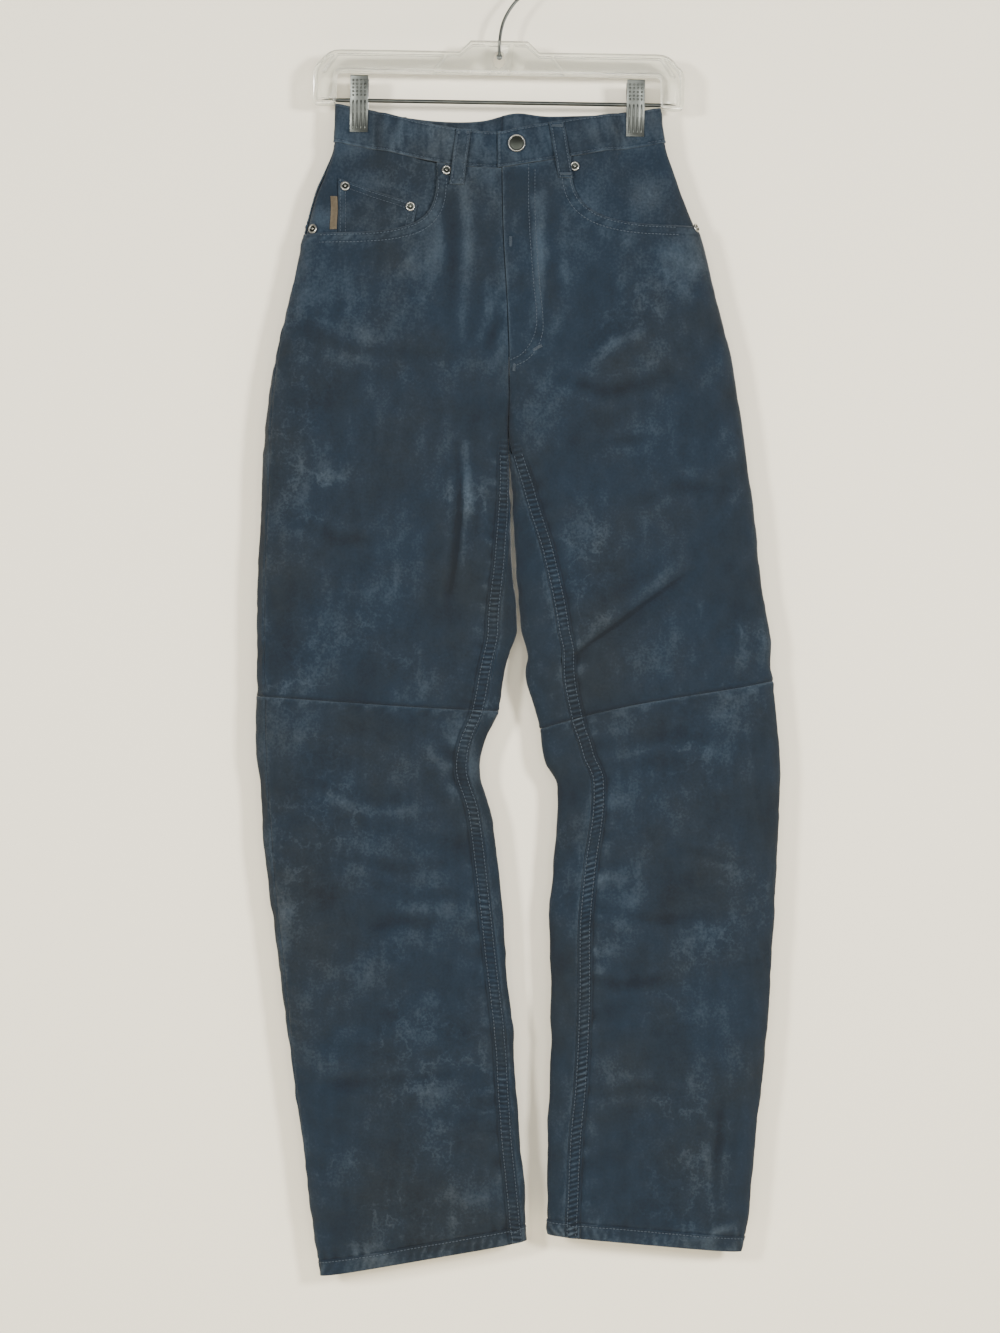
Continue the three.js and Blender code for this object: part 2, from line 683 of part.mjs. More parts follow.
function loopLift(w) {
  let k = 0;
  while (k < loopLifts.length - 2 && loopLifts[k + 1][0] < w) k++;
  const [[a, low], [b, high]] = [loopLifts[k], loopLifts[k + 1]];
  return mix(low, high, ease((w - a) / (b - a)));
}

for (const l of loops) {
  const spot = (u, w) => [mix(l.xTop, l.xFoot, w) + (u - 0.5) * loopWide, l.top + loopTall * w];
  const lift = (u, w) => loopLift(w) + loopThick;
  const strip = laid(l.side, l.face, 2, 10, spot, lift, loopThick);
  add(`belt_loop_${l.name}`, strip, colours.leather, 0.8);
}

// Turned metal pieces stand on the leather with their axis along its normal
function stud(name, side, x, low, lift, profile, colour, sides = 12) {
  const spun = new THREE.LatheGeometry(profile.map(([r, h]) => new THREE.Vector2(r, h)), sides);
  const [turn, down] = locate(side, "front", x, low);
  const up = normal(side, turn, down);
  const mesh = add(name, spun, colour, 0.3, 1);
  mesh.quaternion.setFromUnitVectors(new THREE.Vector3(0, 1, 0), up);
  mesh.position.copy(moved(side, turn, down, lift));
}

const buttonProfile = [
  [0, 0], [3, 0], [3, 1.2], [8, 1.4], [8.3, 2.2], [7.6, 3.2], [6.6, 3.4], [6, 2.7], [3, 3.1], [0, 3.3],
];
stud("waist_button", "left", 15.6, -22, bandLift + lapRise + seamGap, buttonProfile, colours.steel, 20);

const rivetProfile = [[0, 0], [4.5, 0], [4.4, 0.6], [3.2, 1.1], [2, 0.8], [1.2, 1.2], [0, 1.3]];
const rivetLift = 0.3;
const rivetColumns = ["name", "side", "x", "down", "lift"];
const rivets = [
  ["mouth_right", "right", -50.3, 2.8, rivetLift],
  ["side_right", "right", -176.9, 57.6, rivetLift],
  ["coin_side", "right", -146.5, 17, onFacing(-146.5, 17, pouchThick) + 1.1],
  ["coin_centre", "right", -84.5, 37, onFacing(-84.5, 37, pouchThick) + 0.5],
  ["mouth_left", "left", 70.5, -1, rivetLift],
  ["side_left", "left", 186, 56, rivetLift],
].map((row) => named(rivetColumns, row));
for (const r of rivets) {
  stud(`rivet_${r.name}`, r.side, r.x, r.down, r.lift, rivetProfile, colours.steel);
}

// Hanger body: an outline with a round shoulder and a downward arm at each end
const beamTop = 6.5;
const beamFoot = -13.8;
const armInner = 154;
const armOuter = 176;
const armFoot = -45;

function hangerOutline(shrink) {
  const shape = new THREE.Shape();
  const s = shrink;
  shape.moveTo(-27 + s * 0.5, 17 - s);
  shape.lineTo(27 - s * 0.5, 17 - s);
  shape.lineTo(38, beamTop - s);
  shape.lineTo(150, beamTop - s);
  shape.quadraticCurveTo(163, beamTop - s, 169 - s, -4);
  shape.quadraticCurveTo(armOuter - s, -8, armOuter - s, -18);
  shape.lineTo(armOuter - s, armFoot + 4);
  shape.quadraticCurveTo(armOuter - s, armFoot + s, armOuter - 5, armFoot + s);
  shape.lineTo(armInner + 5, armFoot + s);
  shape.quadraticCurveTo(armInner + s, armFoot + s, armInner + s, armFoot + 5);
  shape.lineTo(armInner + s, beamFoot - 6);
  shape.quadraticCurveTo(armInner + s, beamFoot + s, armInner - 6, beamFoot + s);
  shape.lineTo(-armInner + 6, beamFoot + s);
  shape.quadraticCurveTo(-armInner - s, beamFoot + s, -armInner - s, beamFoot - 6);
  shape.lineTo(-armInner - s, armFoot + 5);
  shape.quadraticCurveTo(-armInner - s, armFoot + s, -armInner - 5, armFoot + s);
  shape.lineTo(-armOuter + 5, armFoot + s);
  shape.quadraticCurveTo(-armOuter + s, armFoot + s, -armOuter + s, armFoot + 4);
  shape.lineTo(-armOuter + s, -18);
  shape.quadraticCurveTo(-armOuter + s, -8, -169 + s, -4);
  shape.quadraticCurveTo(-163, beamTop - s, -150, beamTop - s);
  shape.lineTo(-38, beamTop - s);
  shape.closePath();
  return shape;
}

function slab(shape, deep, from) {
  const block = new THREE.ExtrudeGeometry(shape, {
    depth: deep, bevelEnabled: false, curveSegments: 4,
  });
  block.rotateX(Math.PI / 2);
  block.translate(0, from + deep, 0);
  return solid(block);
}

function rectangle(x1, z1, x2, z2) {
  const shape = new THREE.Shape();
  shape.moveTo(x1, z1);
  shape.lineTo(x2, z1);
  shape.lineTo(x2, z2);
  shape.lineTo(x1, z2);
  shape.closePath();
  return shape;
}

// A bar of square-cut rib from one point of the outline to another
function rib(x1, z1, x2, z2, wide) {
  const shape = new THREE.Shape();
  shape.moveTo(x1 - wide / 2, z1);
  shape.lineTo(x1 + wide / 2, z1);
  shape.lineTo(x2 + wide / 2, z2);
  shape.lineTo(x2 - wide / 2, z2);
  shape.closePath();
  return slab(shape, hangerDeep, -hangerDeep / 2);
}

function rod(radius, length, sides = 16) {
  const bar = new THREE.CylinderGeometry(radius, radius, length, sides);
  bar.rotateZ(Math.PI / 2);
  return bar;
}

const hanger = new THREE.Group();
hanger.position.copy(eye);
hanger.rotation.y = hangTilt;
group.add(hanger);

{
  const pocketDeep = (hangerDeep - hangerWeb) / 2;
  let body = slab(hangerOutline(0), hangerDeep, -hangerDeep / 2);
  const pocket = slab(hangerOutline(flange), pocketDeep + 1, -hangerDeep / 2 - 1)
    .add(slab(hangerOutline(flange), pocketDeep + 1, hangerWeb / 2));
  const ribWide = 3;
  const ribEnds = [[49, 5, 63, -13], [12, 15, 9, -13], [154, 4, 166, -14]];
  const ribs = wasm.Manifold.union(ribEnds.flatMap(([x1, z1, x2, z2]) => [
    rib(x1, z1, x2, z2, ribWide), rib(-x1, z1, -x2, z2, ribWide),
  ]));
  const hole = new THREE.Shape();
  hole.absellipse(0, 0, 6, 9, 0, Math.PI * 2);
  const socket = rod(barRadius + seamGap, 2 * barHalf + 2 * seamGap);
  socket.translate(0, 0, -barDrop);
  const bore = new THREE.CylinderGeometry(hookWire + seamGap, hookWire + seamGap, 20, 12);
  bore.rotateX(Math.PI / 2);
  bore.translate(0, 0, 12);
  body = body.subtract(pocket.subtract(ribs)).subtract(slab(hole, 20, -10));
  body = body.subtract(solid(socket)).subtract(solid(bore));
  const mesh = add("hanger_body", fromSolid(body), colours.plastic, 0.15);
  hanger.add(mesh);
}

{
  const bar = rod(barRadius, 2 * barHalf);
  const mesh = add("hanger_bar", bar, colours.steel, 0.25, 1);
  mesh.position.z = -barDrop;
  hanger.add(mesh);
}

// Clips: one bent profile with a collar round the bar, its mouth shut on the waistband
function clipShape() {
  const mouth = pinchDepth + bandLift + seamGap;
  const jaw = mouth + 1.2;
  const shape = new THREE.Shape();
  const side = [
    [mouth, 0], [jaw + 0.5, -1], [jaw, 4], [jaw, 18], [jaw + 1.4, 24], [jaw + 1.6, 36],
    [jaw + 4.2, clipTall - 1], [jaw + 3, clipTall],
    [mouth + 1.2, 36], [barRadius + 1.3, 33.5],
  ];
  const inside = [[barRadius + 1.3, 26.5], [mouth + 0.4, 24], [mouth, 18]];
  side.forEach(([y, z], k) => (k ? shape.lineTo(y, z) : shape.moveTo(y, z)));
  [...side].reverse().forEach(([y, z]) => shape.lineTo(-y, z));
  [...inside].reverse().forEach(([y, z]) => shape.lineTo(-y, z));
  inside.forEach(([y, z]) => shape.lineTo(y, z));
  shape.closePath();
  const hole = new THREE.Path();
  hole.absarc(0, 30, barRadius + seamGap, 0, Math.PI * 2, true);
  shape.holes.push(hole);
  return shape;
}

for (const side of ["right", "left"]) {
  const block = new THREE.ExtrudeGeometry(clipShape(), {
    depth: clipWide, bevelEnabled: false, curveSegments: 8,
  });
  block.rotateX(Math.PI / 2);
  block.rotateZ(Math.PI / 2);
  block.translate(-clipWide / 2, 0, 0);
  const mesh = add(`clip_${side}`, block, colours.steel, 0.3, 1);
  const along = clips[side].x - eye.x;
  mesh.position.set(along, 0, -barDrop - 30);
  hanger.add(mesh);
}

// Hook: a shank with a head in the eye, a bend and a round bow
{
  const bow = new THREE.Vector2(0, hookWire - hookRadius);
  const points = [
    new THREE.Vector3(eye.x + 0.2, 0, eye.z + 3), new THREE.Vector3(eye.x + 0.5, 0, eye.z + 18),
    new THREE.Vector3(0.9, 0, -70), new THREE.Vector3(3.2, 0, -61), new THREE.Vector3(9, 0, -49.5),
  ];
  const steps = 16;
  for (let k = 0; k <= steps; k++) {
    const angle = mix(hookStart, hookEnd, k / steps) * Math.PI / 180;
    points.push(new THREE.Vector3(
      bow.x + hookRadius * Math.cos(angle), 0, bow.y + hookRadius * Math.sin(angle),
    ));
  }
  const round = new THREE.Shape();
  round.absarc(0, 0, hookWire, 0, Math.PI * 2);
  const wire = new THREE.ExtrudeGeometry(round, {
    steps: 48, curveSegments: 4, extrudePath: new THREE.CatmullRomCurve3(points),
  });
  const head = new THREE.CylinderGeometry(2.8, 2.8, 2, 12);
  head.rotateX(Math.PI / 2);
  head.translate(eye.x + 0.2, 0, eye.z + 3);
  add("hanger_hook", fromSolid(solid(wire).add(solid(head))), colours.steel, 0.3, 1);
}

export default group;
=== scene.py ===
"""Jean-cut leather trousers on a clip hanger: leather panels, seams, fittings and stage."""

import bmesh
import bpy
import numpy as np
from mathutils import Matrix, Vector


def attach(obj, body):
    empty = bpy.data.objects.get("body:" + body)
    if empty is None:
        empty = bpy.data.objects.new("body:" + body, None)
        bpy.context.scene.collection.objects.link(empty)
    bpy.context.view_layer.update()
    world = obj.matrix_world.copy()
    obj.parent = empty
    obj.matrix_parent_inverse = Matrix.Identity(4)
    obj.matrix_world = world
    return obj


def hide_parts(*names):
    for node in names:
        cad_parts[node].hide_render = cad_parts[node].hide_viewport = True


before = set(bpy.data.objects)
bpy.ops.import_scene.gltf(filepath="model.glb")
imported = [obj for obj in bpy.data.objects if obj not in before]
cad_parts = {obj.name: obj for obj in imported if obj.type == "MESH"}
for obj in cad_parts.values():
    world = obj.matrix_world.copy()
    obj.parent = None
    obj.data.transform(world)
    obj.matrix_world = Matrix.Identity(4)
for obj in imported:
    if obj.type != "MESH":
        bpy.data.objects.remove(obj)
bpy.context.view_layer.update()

bl_info = {
    "name": "Leather Trousers",
    "version": (1, 0, 0),
    "blender": (4, 5, 0),
    "location": "View3D > Sidebar > Trousers",
    "description": "Builds leather trousers on a clip hanger",
    "category": "Object",
}

# Lengths below are in millimetres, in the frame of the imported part. Levels count down from
# the waist seam.
MM = 0.001
SEAM_Z = -201.4            # height of the waist seam
BAND_TOP = -34.2           # level of the waistband's top
CROTCH = 245.1
OPEN_RUN = 75.0            # over which the closed legs open into the hips
FOLD_POWER = 5.0           # squareness of a closed section
WAIST_POWER = 8.0          # squareness of an open section
BACK_RISE = 16.0           # how much higher the back hangs at the waist
WAIST_WAVE = 5.0           # height of the wave in the back of the waist
SEAM_GAP = 0.12
CENTRE_GAP = 0.2
CENTRE = 1.9               # X of the centre seams
LEATHER = 1.3              # thickness of one layer
BAND_LIFT = 1.0            # how far the waistband stands out
BAND_THICK = 3.0
HEM = 15.0
FACING_INSET = 11.0        # from the inseam's line to where a pocket facing is measured
FELLED = 13.5              # width of the felled inseam's strip
FELL_ROWS = (2.4, 11.4)    # its two rows of thread
PINCH_DEPTH = 2.15         # half the depth between a clip's jaws
PINCH_FLAT = 10.0
PINCH_RUN = 16.0
PINCH_LEVEL = -8.0         # where the clips' hold begins to fade
PINCH_FADE = 60.0
KNEE = {"right": 513.9, "left": 531.0}
HEM_LEVEL = {"right": 1016.5, "left": 1010.8}
SIGN = {"right": -1.0, "left": 1.0}
CLIP_X = {"right": -132.9, "left": 129.3}

# One row for each slanting section of a leg, as in the part: the levels and places of its
# two ends, the outseam's and inseam's distance from them, half the depth, and the sag
COLUMNS = ("down", "inner", "outer", "outer_down", "outseam", "inseam", "half", "sag")
SECTIONS = {
    "right": np.array([
        (-34.2, 1.9, -155.8, -62.7, 0, 0, 10.5, 5), (0, 1.9, -157.1, -26.1, 0, 0, 12.5, 5.4),
        (28.5, 2.2, -176.2, 23.8, 0, 0, 15.5, 2), (66.5, 3.3, -187.1, 66.5, 0, 0, 18, 0),
        (109.2, 5.7, -196.6, 108.3, 0.5, 0, 20, 0), (156.8, 8.1, -208.5, 157.7, 1.4, 0, 20, 0),
        (207.1, 9, -219, 209.9, 4.8, 0, 19, 0), (245.1, 8.1, -224.2, 250.8, 7.1, 0, 18, 0),
        (308.8, 9.5, -227.7, 313.5, 8.5, 0.9, 17, 0),
        (370.5, 12.3, -230.5, 370.5, 8.5, 6.6, 16, 0),
        (435.1, 17.1, -231.8, 437, 8.5, 17.1, 15, 0),
        (466.4, 8.1, -232, 465.5, 8.8, 13.8, 15, 0),
        (513.9, -0.9, -231.5, 499.7, 9.2, 13.8, 14, 1),
        (537.7, -10.9, -231.6, 529.1, 9.5, 13.8, 14, 0),
        (567.1, -19.9, -230.3, 568.1, 9.5, 10.2, 13.5, 0),
        (609.9, -8.5, -227, 609.9, 9, 10.2, 13.5, 0),
        (669.8, -0.5, -220.4, 674.5, 7.1, 10.4, 13, 0),
        (760, 7.1, -209, 761.9, 5.2, 8.1, 12.5, 0),
        (831.2, 13.3, -199.5, 837.9, 2.8, 6.6, 12, 0),
        (912, 18.5, -188.1, 916.8, 0.5, 6.6, 12, 0),
        (973.8, 23.3, -177.7, 1002.2, -0.9, 5.2, 11.5, 0),
        (1016.5, 25.6, -170.3, 1050.2, -1.9, 3.8, 11, 0),
    ]),
    "left": np.array([
        (-34.2, 1.9, 151.5, -58.4, -7.6, 0, 10.5, -2), (0, 1.9, 156.8, -25.4, -9.5, 0, 12.5, 0),
        (28.5, 2.2, 173.8, 21.8, -14.2, 0, 15.5, 0), (66.5, 3.3, 190, 63.6, -17.1, 0, 18, 0),
        (109.2, 5.7, 202.8, 109.2, -18.1, 0, 20, 0),
        (156.8, 8.1, 215.2, 157.7, -17.1, 0, 20, 0),
        (207.1, 9, 224.7, 207.1, -16.1, 0, 19, 0),
        (245.1, 8.1, 231.8, 254.6, -15.2, 0, 18, 0),
        (308.8, 10.9, 239.4, 313.5, -14.2, 11.4, 17, 0),
        (370.5, 14.1, 245.6, 370.5, -13.3, 26.6, 16, 0),
        (435.1, 19.5, 254.6, 435.1, -11.4, 34.2, 15, 0),
        (462.6, 26.1, 256.8, 454.1, -10.4, 32.3, 15, -1),
        (474, 24.2, 256.5, 467.4, -10.4, 34.2, 15, -2),
        (531, 38, 259.3, 485.4, -9.5, 28.5, 14, -5),
        (562.4, 42.8, 263.1, 524.4, -10.4, 33.7, 14, -3),
        (584.2, 53.2, 266.5, 565.2, -12.3, 33.2, 13.5, -2),
        (604.2, 54.1, 266.8, 598.5, -14.2, 32.3, 13.5, 0),
        (661.2, 50.3, 262.6, 661.2, -17.1, 28.5, 13, 0),
        (722, 46.5, 260.3, 722, -19, 27.1, 12.5, 0),
        (791.3, 48.1, 256.5, 791.3, -20.9, 25.2, 12, 0),
        (863.1, 47.2, 249.4, 863.1, -22.8, 22.8, 12, 0),
        (921.5, 44.8, 243.2, 921.5, -23.8, 19.9, 12, 0),
        (983.2, 43.9, 235.6, 1001.3, -24.7, 18.1, 11.5, 0),
        (1010.8, 45.1, 229.4, 1027, -25.6, 16.1, 11, 0),
    ]),
}

# The pocket mouths: a quarter of a rounded rectangle about the corner of side and waist
MOUTHS = {
    "right": {"corner": -187.0, "top": -9.0, "across": 127.5, "drop": 71.0, "power": 4.3},
    "left": {"corner": 187.0, "top": -12.0, "across": -120.0, "drop": 67.0, "power": 3.3},
}


def ease(t):
    """A smooth step: 3t^2 - 2t^3, held at 0 and 1 outside."""
    t = np.clip(t, 0.0, 1.0)
    return t * t * (3 - 2 * t)


def mix(a, b, t):
    """Straight from a at t = 0 to b at t = 1."""
    return a + (b - a) * t


def bell(distance, width):
    """A hump of height 1 at no distance: e to the power of -(distance / width)^2."""
    return np.exp(-((distance / width) ** 2))


def cubic(w, run, first, last, slope_first, slope_last):
    """A cubic piece between two values with a slope at each, w running from 0 to 1."""
    return (first * (2 * w**3 - 3 * w**2 + 1) + last * (3 * w**2 - 2 * w**3)
            + slope_first * run * (w**3 - 2 * w**2 + w) + slope_last * run * (w**3 - w**2))


def slopes_of(levels, values):
    """Slopes at a table's rows: the harmonic mean of the neighbouring rises, 0 at a turn."""
    rise = np.diff(values) / np.diff(levels)
    inner = np.zeros(len(values) - 2)
    product = rise[:-1] * rise[1:]
    good = product > 0
    inner[good] = 2 * product[good] / (rise[:-1] + rise[1:])[good]
    return np.concatenate([[rise[0]], inner, [rise[-1]]])


def read(side, name, down):
    """A column of the section table at any levels, by cubic pieces that never overshoot."""
    levels = SECTIONS[side][:, 0]
    values = SECTIONS[side][:, COLUMNS.index(name)]
    slopes = slopes_of(levels, values)
    k = np.clip(np.searchsorted(levels, down) - 1, 0, len(levels) - 2)
    run = levels[k + 1] - levels[k]
    raw = (down - levels[k]) / run
    t = np.clip(raw, 0, 1)
    curve = cubic(t, run, values[k], values[k + 1], slopes[k], slopes[k + 1])
    beyond = np.where(raw < 0, slopes[k], slopes[k + 1])
    return curve + beyond * run * (raw - t)


def openness(down):
    """0 below the crotch, where sections are closed inside, to 1 in the hips."""
    return ease((CROTCH - down) / OPEN_RUN)


def section_part(turn, down):
    """How far across a section a turn lies: sin^2 of half the turn when closed, sin when open."""
    half = np.where(turn <= np.pi, turn, 2 * np.pi - turn) / 2
    bend = np.abs(np.sin(half))
    return mix(bend * bend, bend, openness(down))


def turn_at(side, down, end, inset):
    """The turn at a distance in from a section's end: section_part solved for the turn."""
    width = np.abs(read(side, "outer", down) - read(side, "inner", down))
    away = np.abs(inset)
    part = np.clip(np.where(end == "outer", width - away, away) / width, 0, 1)
    o = openness(down)
    bend = 2 * part / np.maximum(o + np.sqrt(o * o + 4 * (1 - o) * part), 1e-9)
    turn = 2 * np.arcsin(np.clip(bend, 0, 1))
    return np.where(inset < 0, 2 * np.pi - turn, turn)


def surface(side, turn, down):
    """The leather's outer surface. Each section is a flattened ring, half depth times
    sqrt(1 - |1 - 2s|^5) when closed at the inner fold and sqrt(1 - s^8) when open at the
    waist, pinched between the clips and with the back higher than the front."""
    turn, down = np.broadcast_arrays(np.asarray(turn, float), np.asarray(down, float))
    s = section_part(turn, down)
    front = turn <= np.pi
    o = openness(down)
    inner = read(side, "inner", down) + SIGN[side] * CENTRE_GAP
    x = mix(inner, read(side, "outer", down), s)
    sag = read(side, "sag", down) * 1.6 * np.sin(np.pi * s) * (1 - s)
    low = mix(down, read(side, "outer_down", down), s) + sag
    closed = np.sqrt(np.maximum(0, 1 - np.abs(1 - 2 * s) ** FOLD_POWER))
    hollow = np.sqrt(np.maximum(0, 1 - s**WAIST_POWER))
    half = read(side, "half", down)
    deep = half * mix(closed, hollow, o)
    held = 1 - ease((down - PINCH_LEVEL) / PINCH_FADE)
    run = PINCH_RUN + np.maximum(0, down - PINCH_LEVEL) * 0.5
    beside = 1 - ease((np.abs(x - CLIP_X[side]) - PINCH_FLAT) / run)
    deep = mix(deep, PINCH_DEPTH, held * beside)
    high = 1 - ease((down - BAND_TOP) / (CROTCH - BAND_TOP))
    wave = 1 - ease((down - BAND_TOP) / 45)
    lift = high * BACK_RISE * (1 - s) ** 1.5 + wave * WAIST_WAVE * bell(x - 15, 20)
    low = low - np.where(front, 0, lift)
    soft = ease(deep / half * 1.4)
    folds = (fold_height(side, face, x, low) for face in ("front", "back"))
    deep = deep + soft * np.where(front, *folds)
    return np.stack([x, np.where(front, -deep, deep), SEAM_Z - low], axis=-1)


# Folds and creases by side and face: width, height (below 0 is a trough) and the line's
# points, each X and level
FOLDS = {
    ("right", "front"): (
        (13, -2.5, (-40, 240), (-39, 335), (-53, 450)),
        (14, 2.0, (-55, 10), (-48, 150)),
        (12, -1.5, (-120, 716), (-65, 713)),
        (12, -1.5, (-167, 866), (-23, 854)),
    ),
    ("right", "back"): (
        (14, -2.5, (-110, 300), (-40, 262)),
        (14, -3.0, (-180, 500), (-60, 470)),
        (14, -2.0, (-170, 560), (-70, 585)),
        (16, 2.0, (-110, 800), (-105, 960)),
    ),
    ("left", "front"): (
        (11, -3.5, (66, 466), (178, 383)),
        (14, 2.5, (80, 194), (132, 156)),
        (13, -2.0, (57, 197), (158, 196)),
        (12, -1.5, (93, 262), (142, 256)),
        (12, -3.0, (211, 870), (202, 975)),
        (13, -1.5, (170, 640), (228, 660)),
    ),
    ("left", "back"): (
        (14, -2.5, (45, 262), (120, 300)),
        (14, -3.0, (70, 470), (190, 505)),
        (14, -2.0, (90, 590), (200, 560)),
        (16, 2.0, (150, 790), (158, 950)),
    ),
}
CREASES = {
    ("right", "front"): (
        (4.0, -1.5, (-40, 262), (-38, 300), (-38, 333), (-42, 371), (-47, 402)),
        (5.0, 0.8, (-33, 262), (-31, 310), (-33, 345)),
        (5.0, -0.9, (-1, 144), (-8, 160), (-14, 178)),
        (7.0, 0.8, (-34, 20), (-30, 80), (-36, 140)),
        (7.0, -0.9, (-46, 30), (-44, 90), (-50, 130)),
        (6.0, -0.7, (-118, 717), (-92, 712), (-62, 714)),
        (6.0, -0.7, (-84, 688), (-50, 686), (-28, 689)),
        (5.0, -0.6, (-165, 866), (-84, 861), (-24, 854)),
        (6.0, 0.6, (-180, 590), (-120, 610), (-60, 604)),
        (5.0, -0.5, (-150, 650), (-100, 662), (-50, 656)),
        (6.0, -0.7, (-200, 330), (-150, 352), (-110, 350)),
        (6.0, -0.6, (-190, 150), (-140, 172), (-70, 176)),
        (5.0, -0.6, (-60, 540), (-42, 560), (-30, 590)),
        (6.0, 0.7, (-70, 545), (-54, 570), (-42, 600)),
        (1.5, -0.8, (-37, 300), (-38, 333), (-42, 371), (-46, 398)),
        (2.5, 0.7, (-34, 300), (-34, 333), (-38, 371), (-42, 398)),
    ),
    ("left", "front"): (
        (1.3, -1.1, (68, 464), (86, 449), (105, 436), (141, 409), (174, 385)),
        (3.0, -0.7, (66, 466), (86, 449), (105, 436), (141, 409), (182, 380)),
        (7.0, 0.8, (70, 450), (100, 426), (140, 397), (176, 370)),
        (5.0, -1.1, (22, 474), (38, 471), (58, 473)),
        (4.5, 0.8, (24, 465), (40, 462), (58, 464)),
        (6.0, 1.0, (82, 194), (105, 168), (132, 157)),
        (6.0, -0.9, (58, 198), (100, 213), (131, 205), (158, 193)),
        (5.0, -0.7, (93, 260), (142, 256)),
        (7.0, 0.9, (36, 30), (40, 90), (36, 150)),
        (7.0, -0.8, (48, 50), (46, 110), (40, 160)),
        (4.0, -1.2, (211, 882), (206, 932), (203, 975)),
        (5.0, 1.0, (195, 1012), (210, 1004), (222, 1002)),
        (4.0, -0.5, (173, 643), (200, 650), (228, 658)),
        (5.0, -0.6, (100, 700), (150, 712), (210, 704)),
        (5.0, -0.7, (60, 760), (110, 772), (160, 768)),
        (6.0, 0.6, (90, 560), (150, 548), (215, 552)),
        (6.0, -0.6, (120, 320), (170, 300), (215, 304)),
        (5.0, -0.6, (80, 880), (130, 868), (170, 874)),
    ),
    ("right", "back"): (
        (5.0, -1.2, (-175, 500), (-120, 484), (-66, 470)),
        (6.0, 1.0, (-180, 486), (-120, 470), (-62, 456)),
        (5.0, -0.9, (-168, 560), (-110, 578), (-72, 585)),
        (6.0, -0.8, (-30, 190), (-60, 222), (-110, 240)),
        (6.0, -0.8, (-22, 236), (-60, 268), (-120, 296)),
        (6.0, 0.8, (-120, 700), (-112, 800), (-105, 930)),
        (5.0, -0.6, (-150, 860), (-100, 866), (-50, 858)),
    ),
    ("left", "back"): (
        (5.0, -1.2, (74, 472), (130, 490), (188, 505)),
        (6.0, 1.0, (70, 458), (130, 474), (192, 490)),
        (5.0, -0.9, (92, 590), (140, 574), (198, 560)),
        (6.0, -0.8, (44, 190), (80, 226), (130, 240)),
        (6.0, -0.8, (40, 240), (80, 270), (150, 290)),
        (6.0, 0.8, (150, 690), (154, 790), (158, 940)),
        (5.0, -0.6, (80, 846), (130, 852), (190, 842)),
    ),
}


def line_distance(x, low, points):
    """Distance to a bent line, and how far along it the nearest point is, from 0 to 1."""
    best = np.full(np.shape(x), 1e9)
    where = np.zeros(np.shape(x))
    legs = len(points) - 1
    for k in range(legs):
        (x1, z1), (x2, z2) = points[k], points[k + 1]
        dx, dz = x2 - x1, z2 - z1
        t = np.clip(((x - x1) * dx + (low - z1) * dz) / (dx * dx + dz * dz), 0, 1)
        away = np.hypot(x - x1 - t * dx, low - z1 - t * dz)
        nearer = away < best
        best = np.where(nearer, away, best)
        where = np.where(nearer, (k + t) / legs, where)
    return best, where


def fold_height(side, face, x, low):
    """The sum of the broad folds: each a bell across its line."""
    height = np.zeros(np.shape(x))
    for width, rise, *points in FOLDS[side, face]:
        height += rise * bell(line_distance(x, low, points)[0], width)
    return height


def crease_height(side, face, x, low):
    """The sum of the creases: a bell across each line with lower shoulders of the other
    sign, fading in and out along it."""
    height = np.zeros(np.shape(x))
    for width, rise, *points in CREASES[side, face]:
        away, along = line_distance(x, low, points)
        fade = 0.25 + 0.75 * np.sin(np.pi * np.clip(along, 0.04, 0.96)) ** 0.7
        shape = bell(away, width) - 0.35 * bell(away - 2.1 * width, width)
        height += rise * fade * shape
    return height


def ripple(x, y, pitch, seed, waves=9):
    """Soft uneven swells of height about 1: seeded sine waves in all directions, summed."""
    rng = np.random.default_rng(seed)
    total = np.zeros(np.broadcast(x, y).shape)
    for _ in range(waves):
        angle, phase = rng.uniform(0, 2 * np.pi, 2)
        length = pitch * rng.uniform(0.7, 1.6)
        total += np.sin((x * np.cos(angle) + y * np.sin(angle)) * 2 * np.pi / length + phase)
    return total / waves**0.5


def swell(length, pitch, seed, waves=5):
    """Uneven swells along one direction only."""
    return ripple(length, 0 * length, pitch, seed, waves)


def step_along(side, down, turn, length):
    """The turn that lies a length of leather away, by four short straight steps."""
    for _ in range(4):
        ahead = surface(side, wrapped(turn + np.sign(length) * 1e-3), down)
        span = np.linalg.norm(ahead - surface(side, wrapped(turn), down), axis=-1)
        turn = turn + length / 4 / np.maximum(span, 1e-3) * 1e-3
    return turn


def edge_distances(points):
    """Lengths of leather from a grid's first and last column and its first and last row."""
    across, along = cumulative(points, 1), cumulative(points, 0)
    return across, across[:, -1:] - across, along, along[-1:] - along


def grid_normals(points, outward):
    """Unit normals of a grid of points, from its central differences both ways."""
    across = np.gradient(points, axis=1)
    along = np.gradient(points, axis=0)
    n = np.cross(across, along)
    n /= np.maximum(np.linalg.norm(n, axis=-1, keepdims=True), 1e-12)
    return n * outward


def cumulative(points, axis):
    """Length of leather from the grid's first row or column to each point."""
    step = np.linalg.norm(np.diff(points, axis=axis), axis=-1)
    pad = [(0, 0), (0, 0)]
    pad[axis] = (1, 0)
    return np.cumsum(np.pad(step, pad), axis=axis)


LAST_LEVEL = 1080.0        # below both hems
HALVINGS = 34


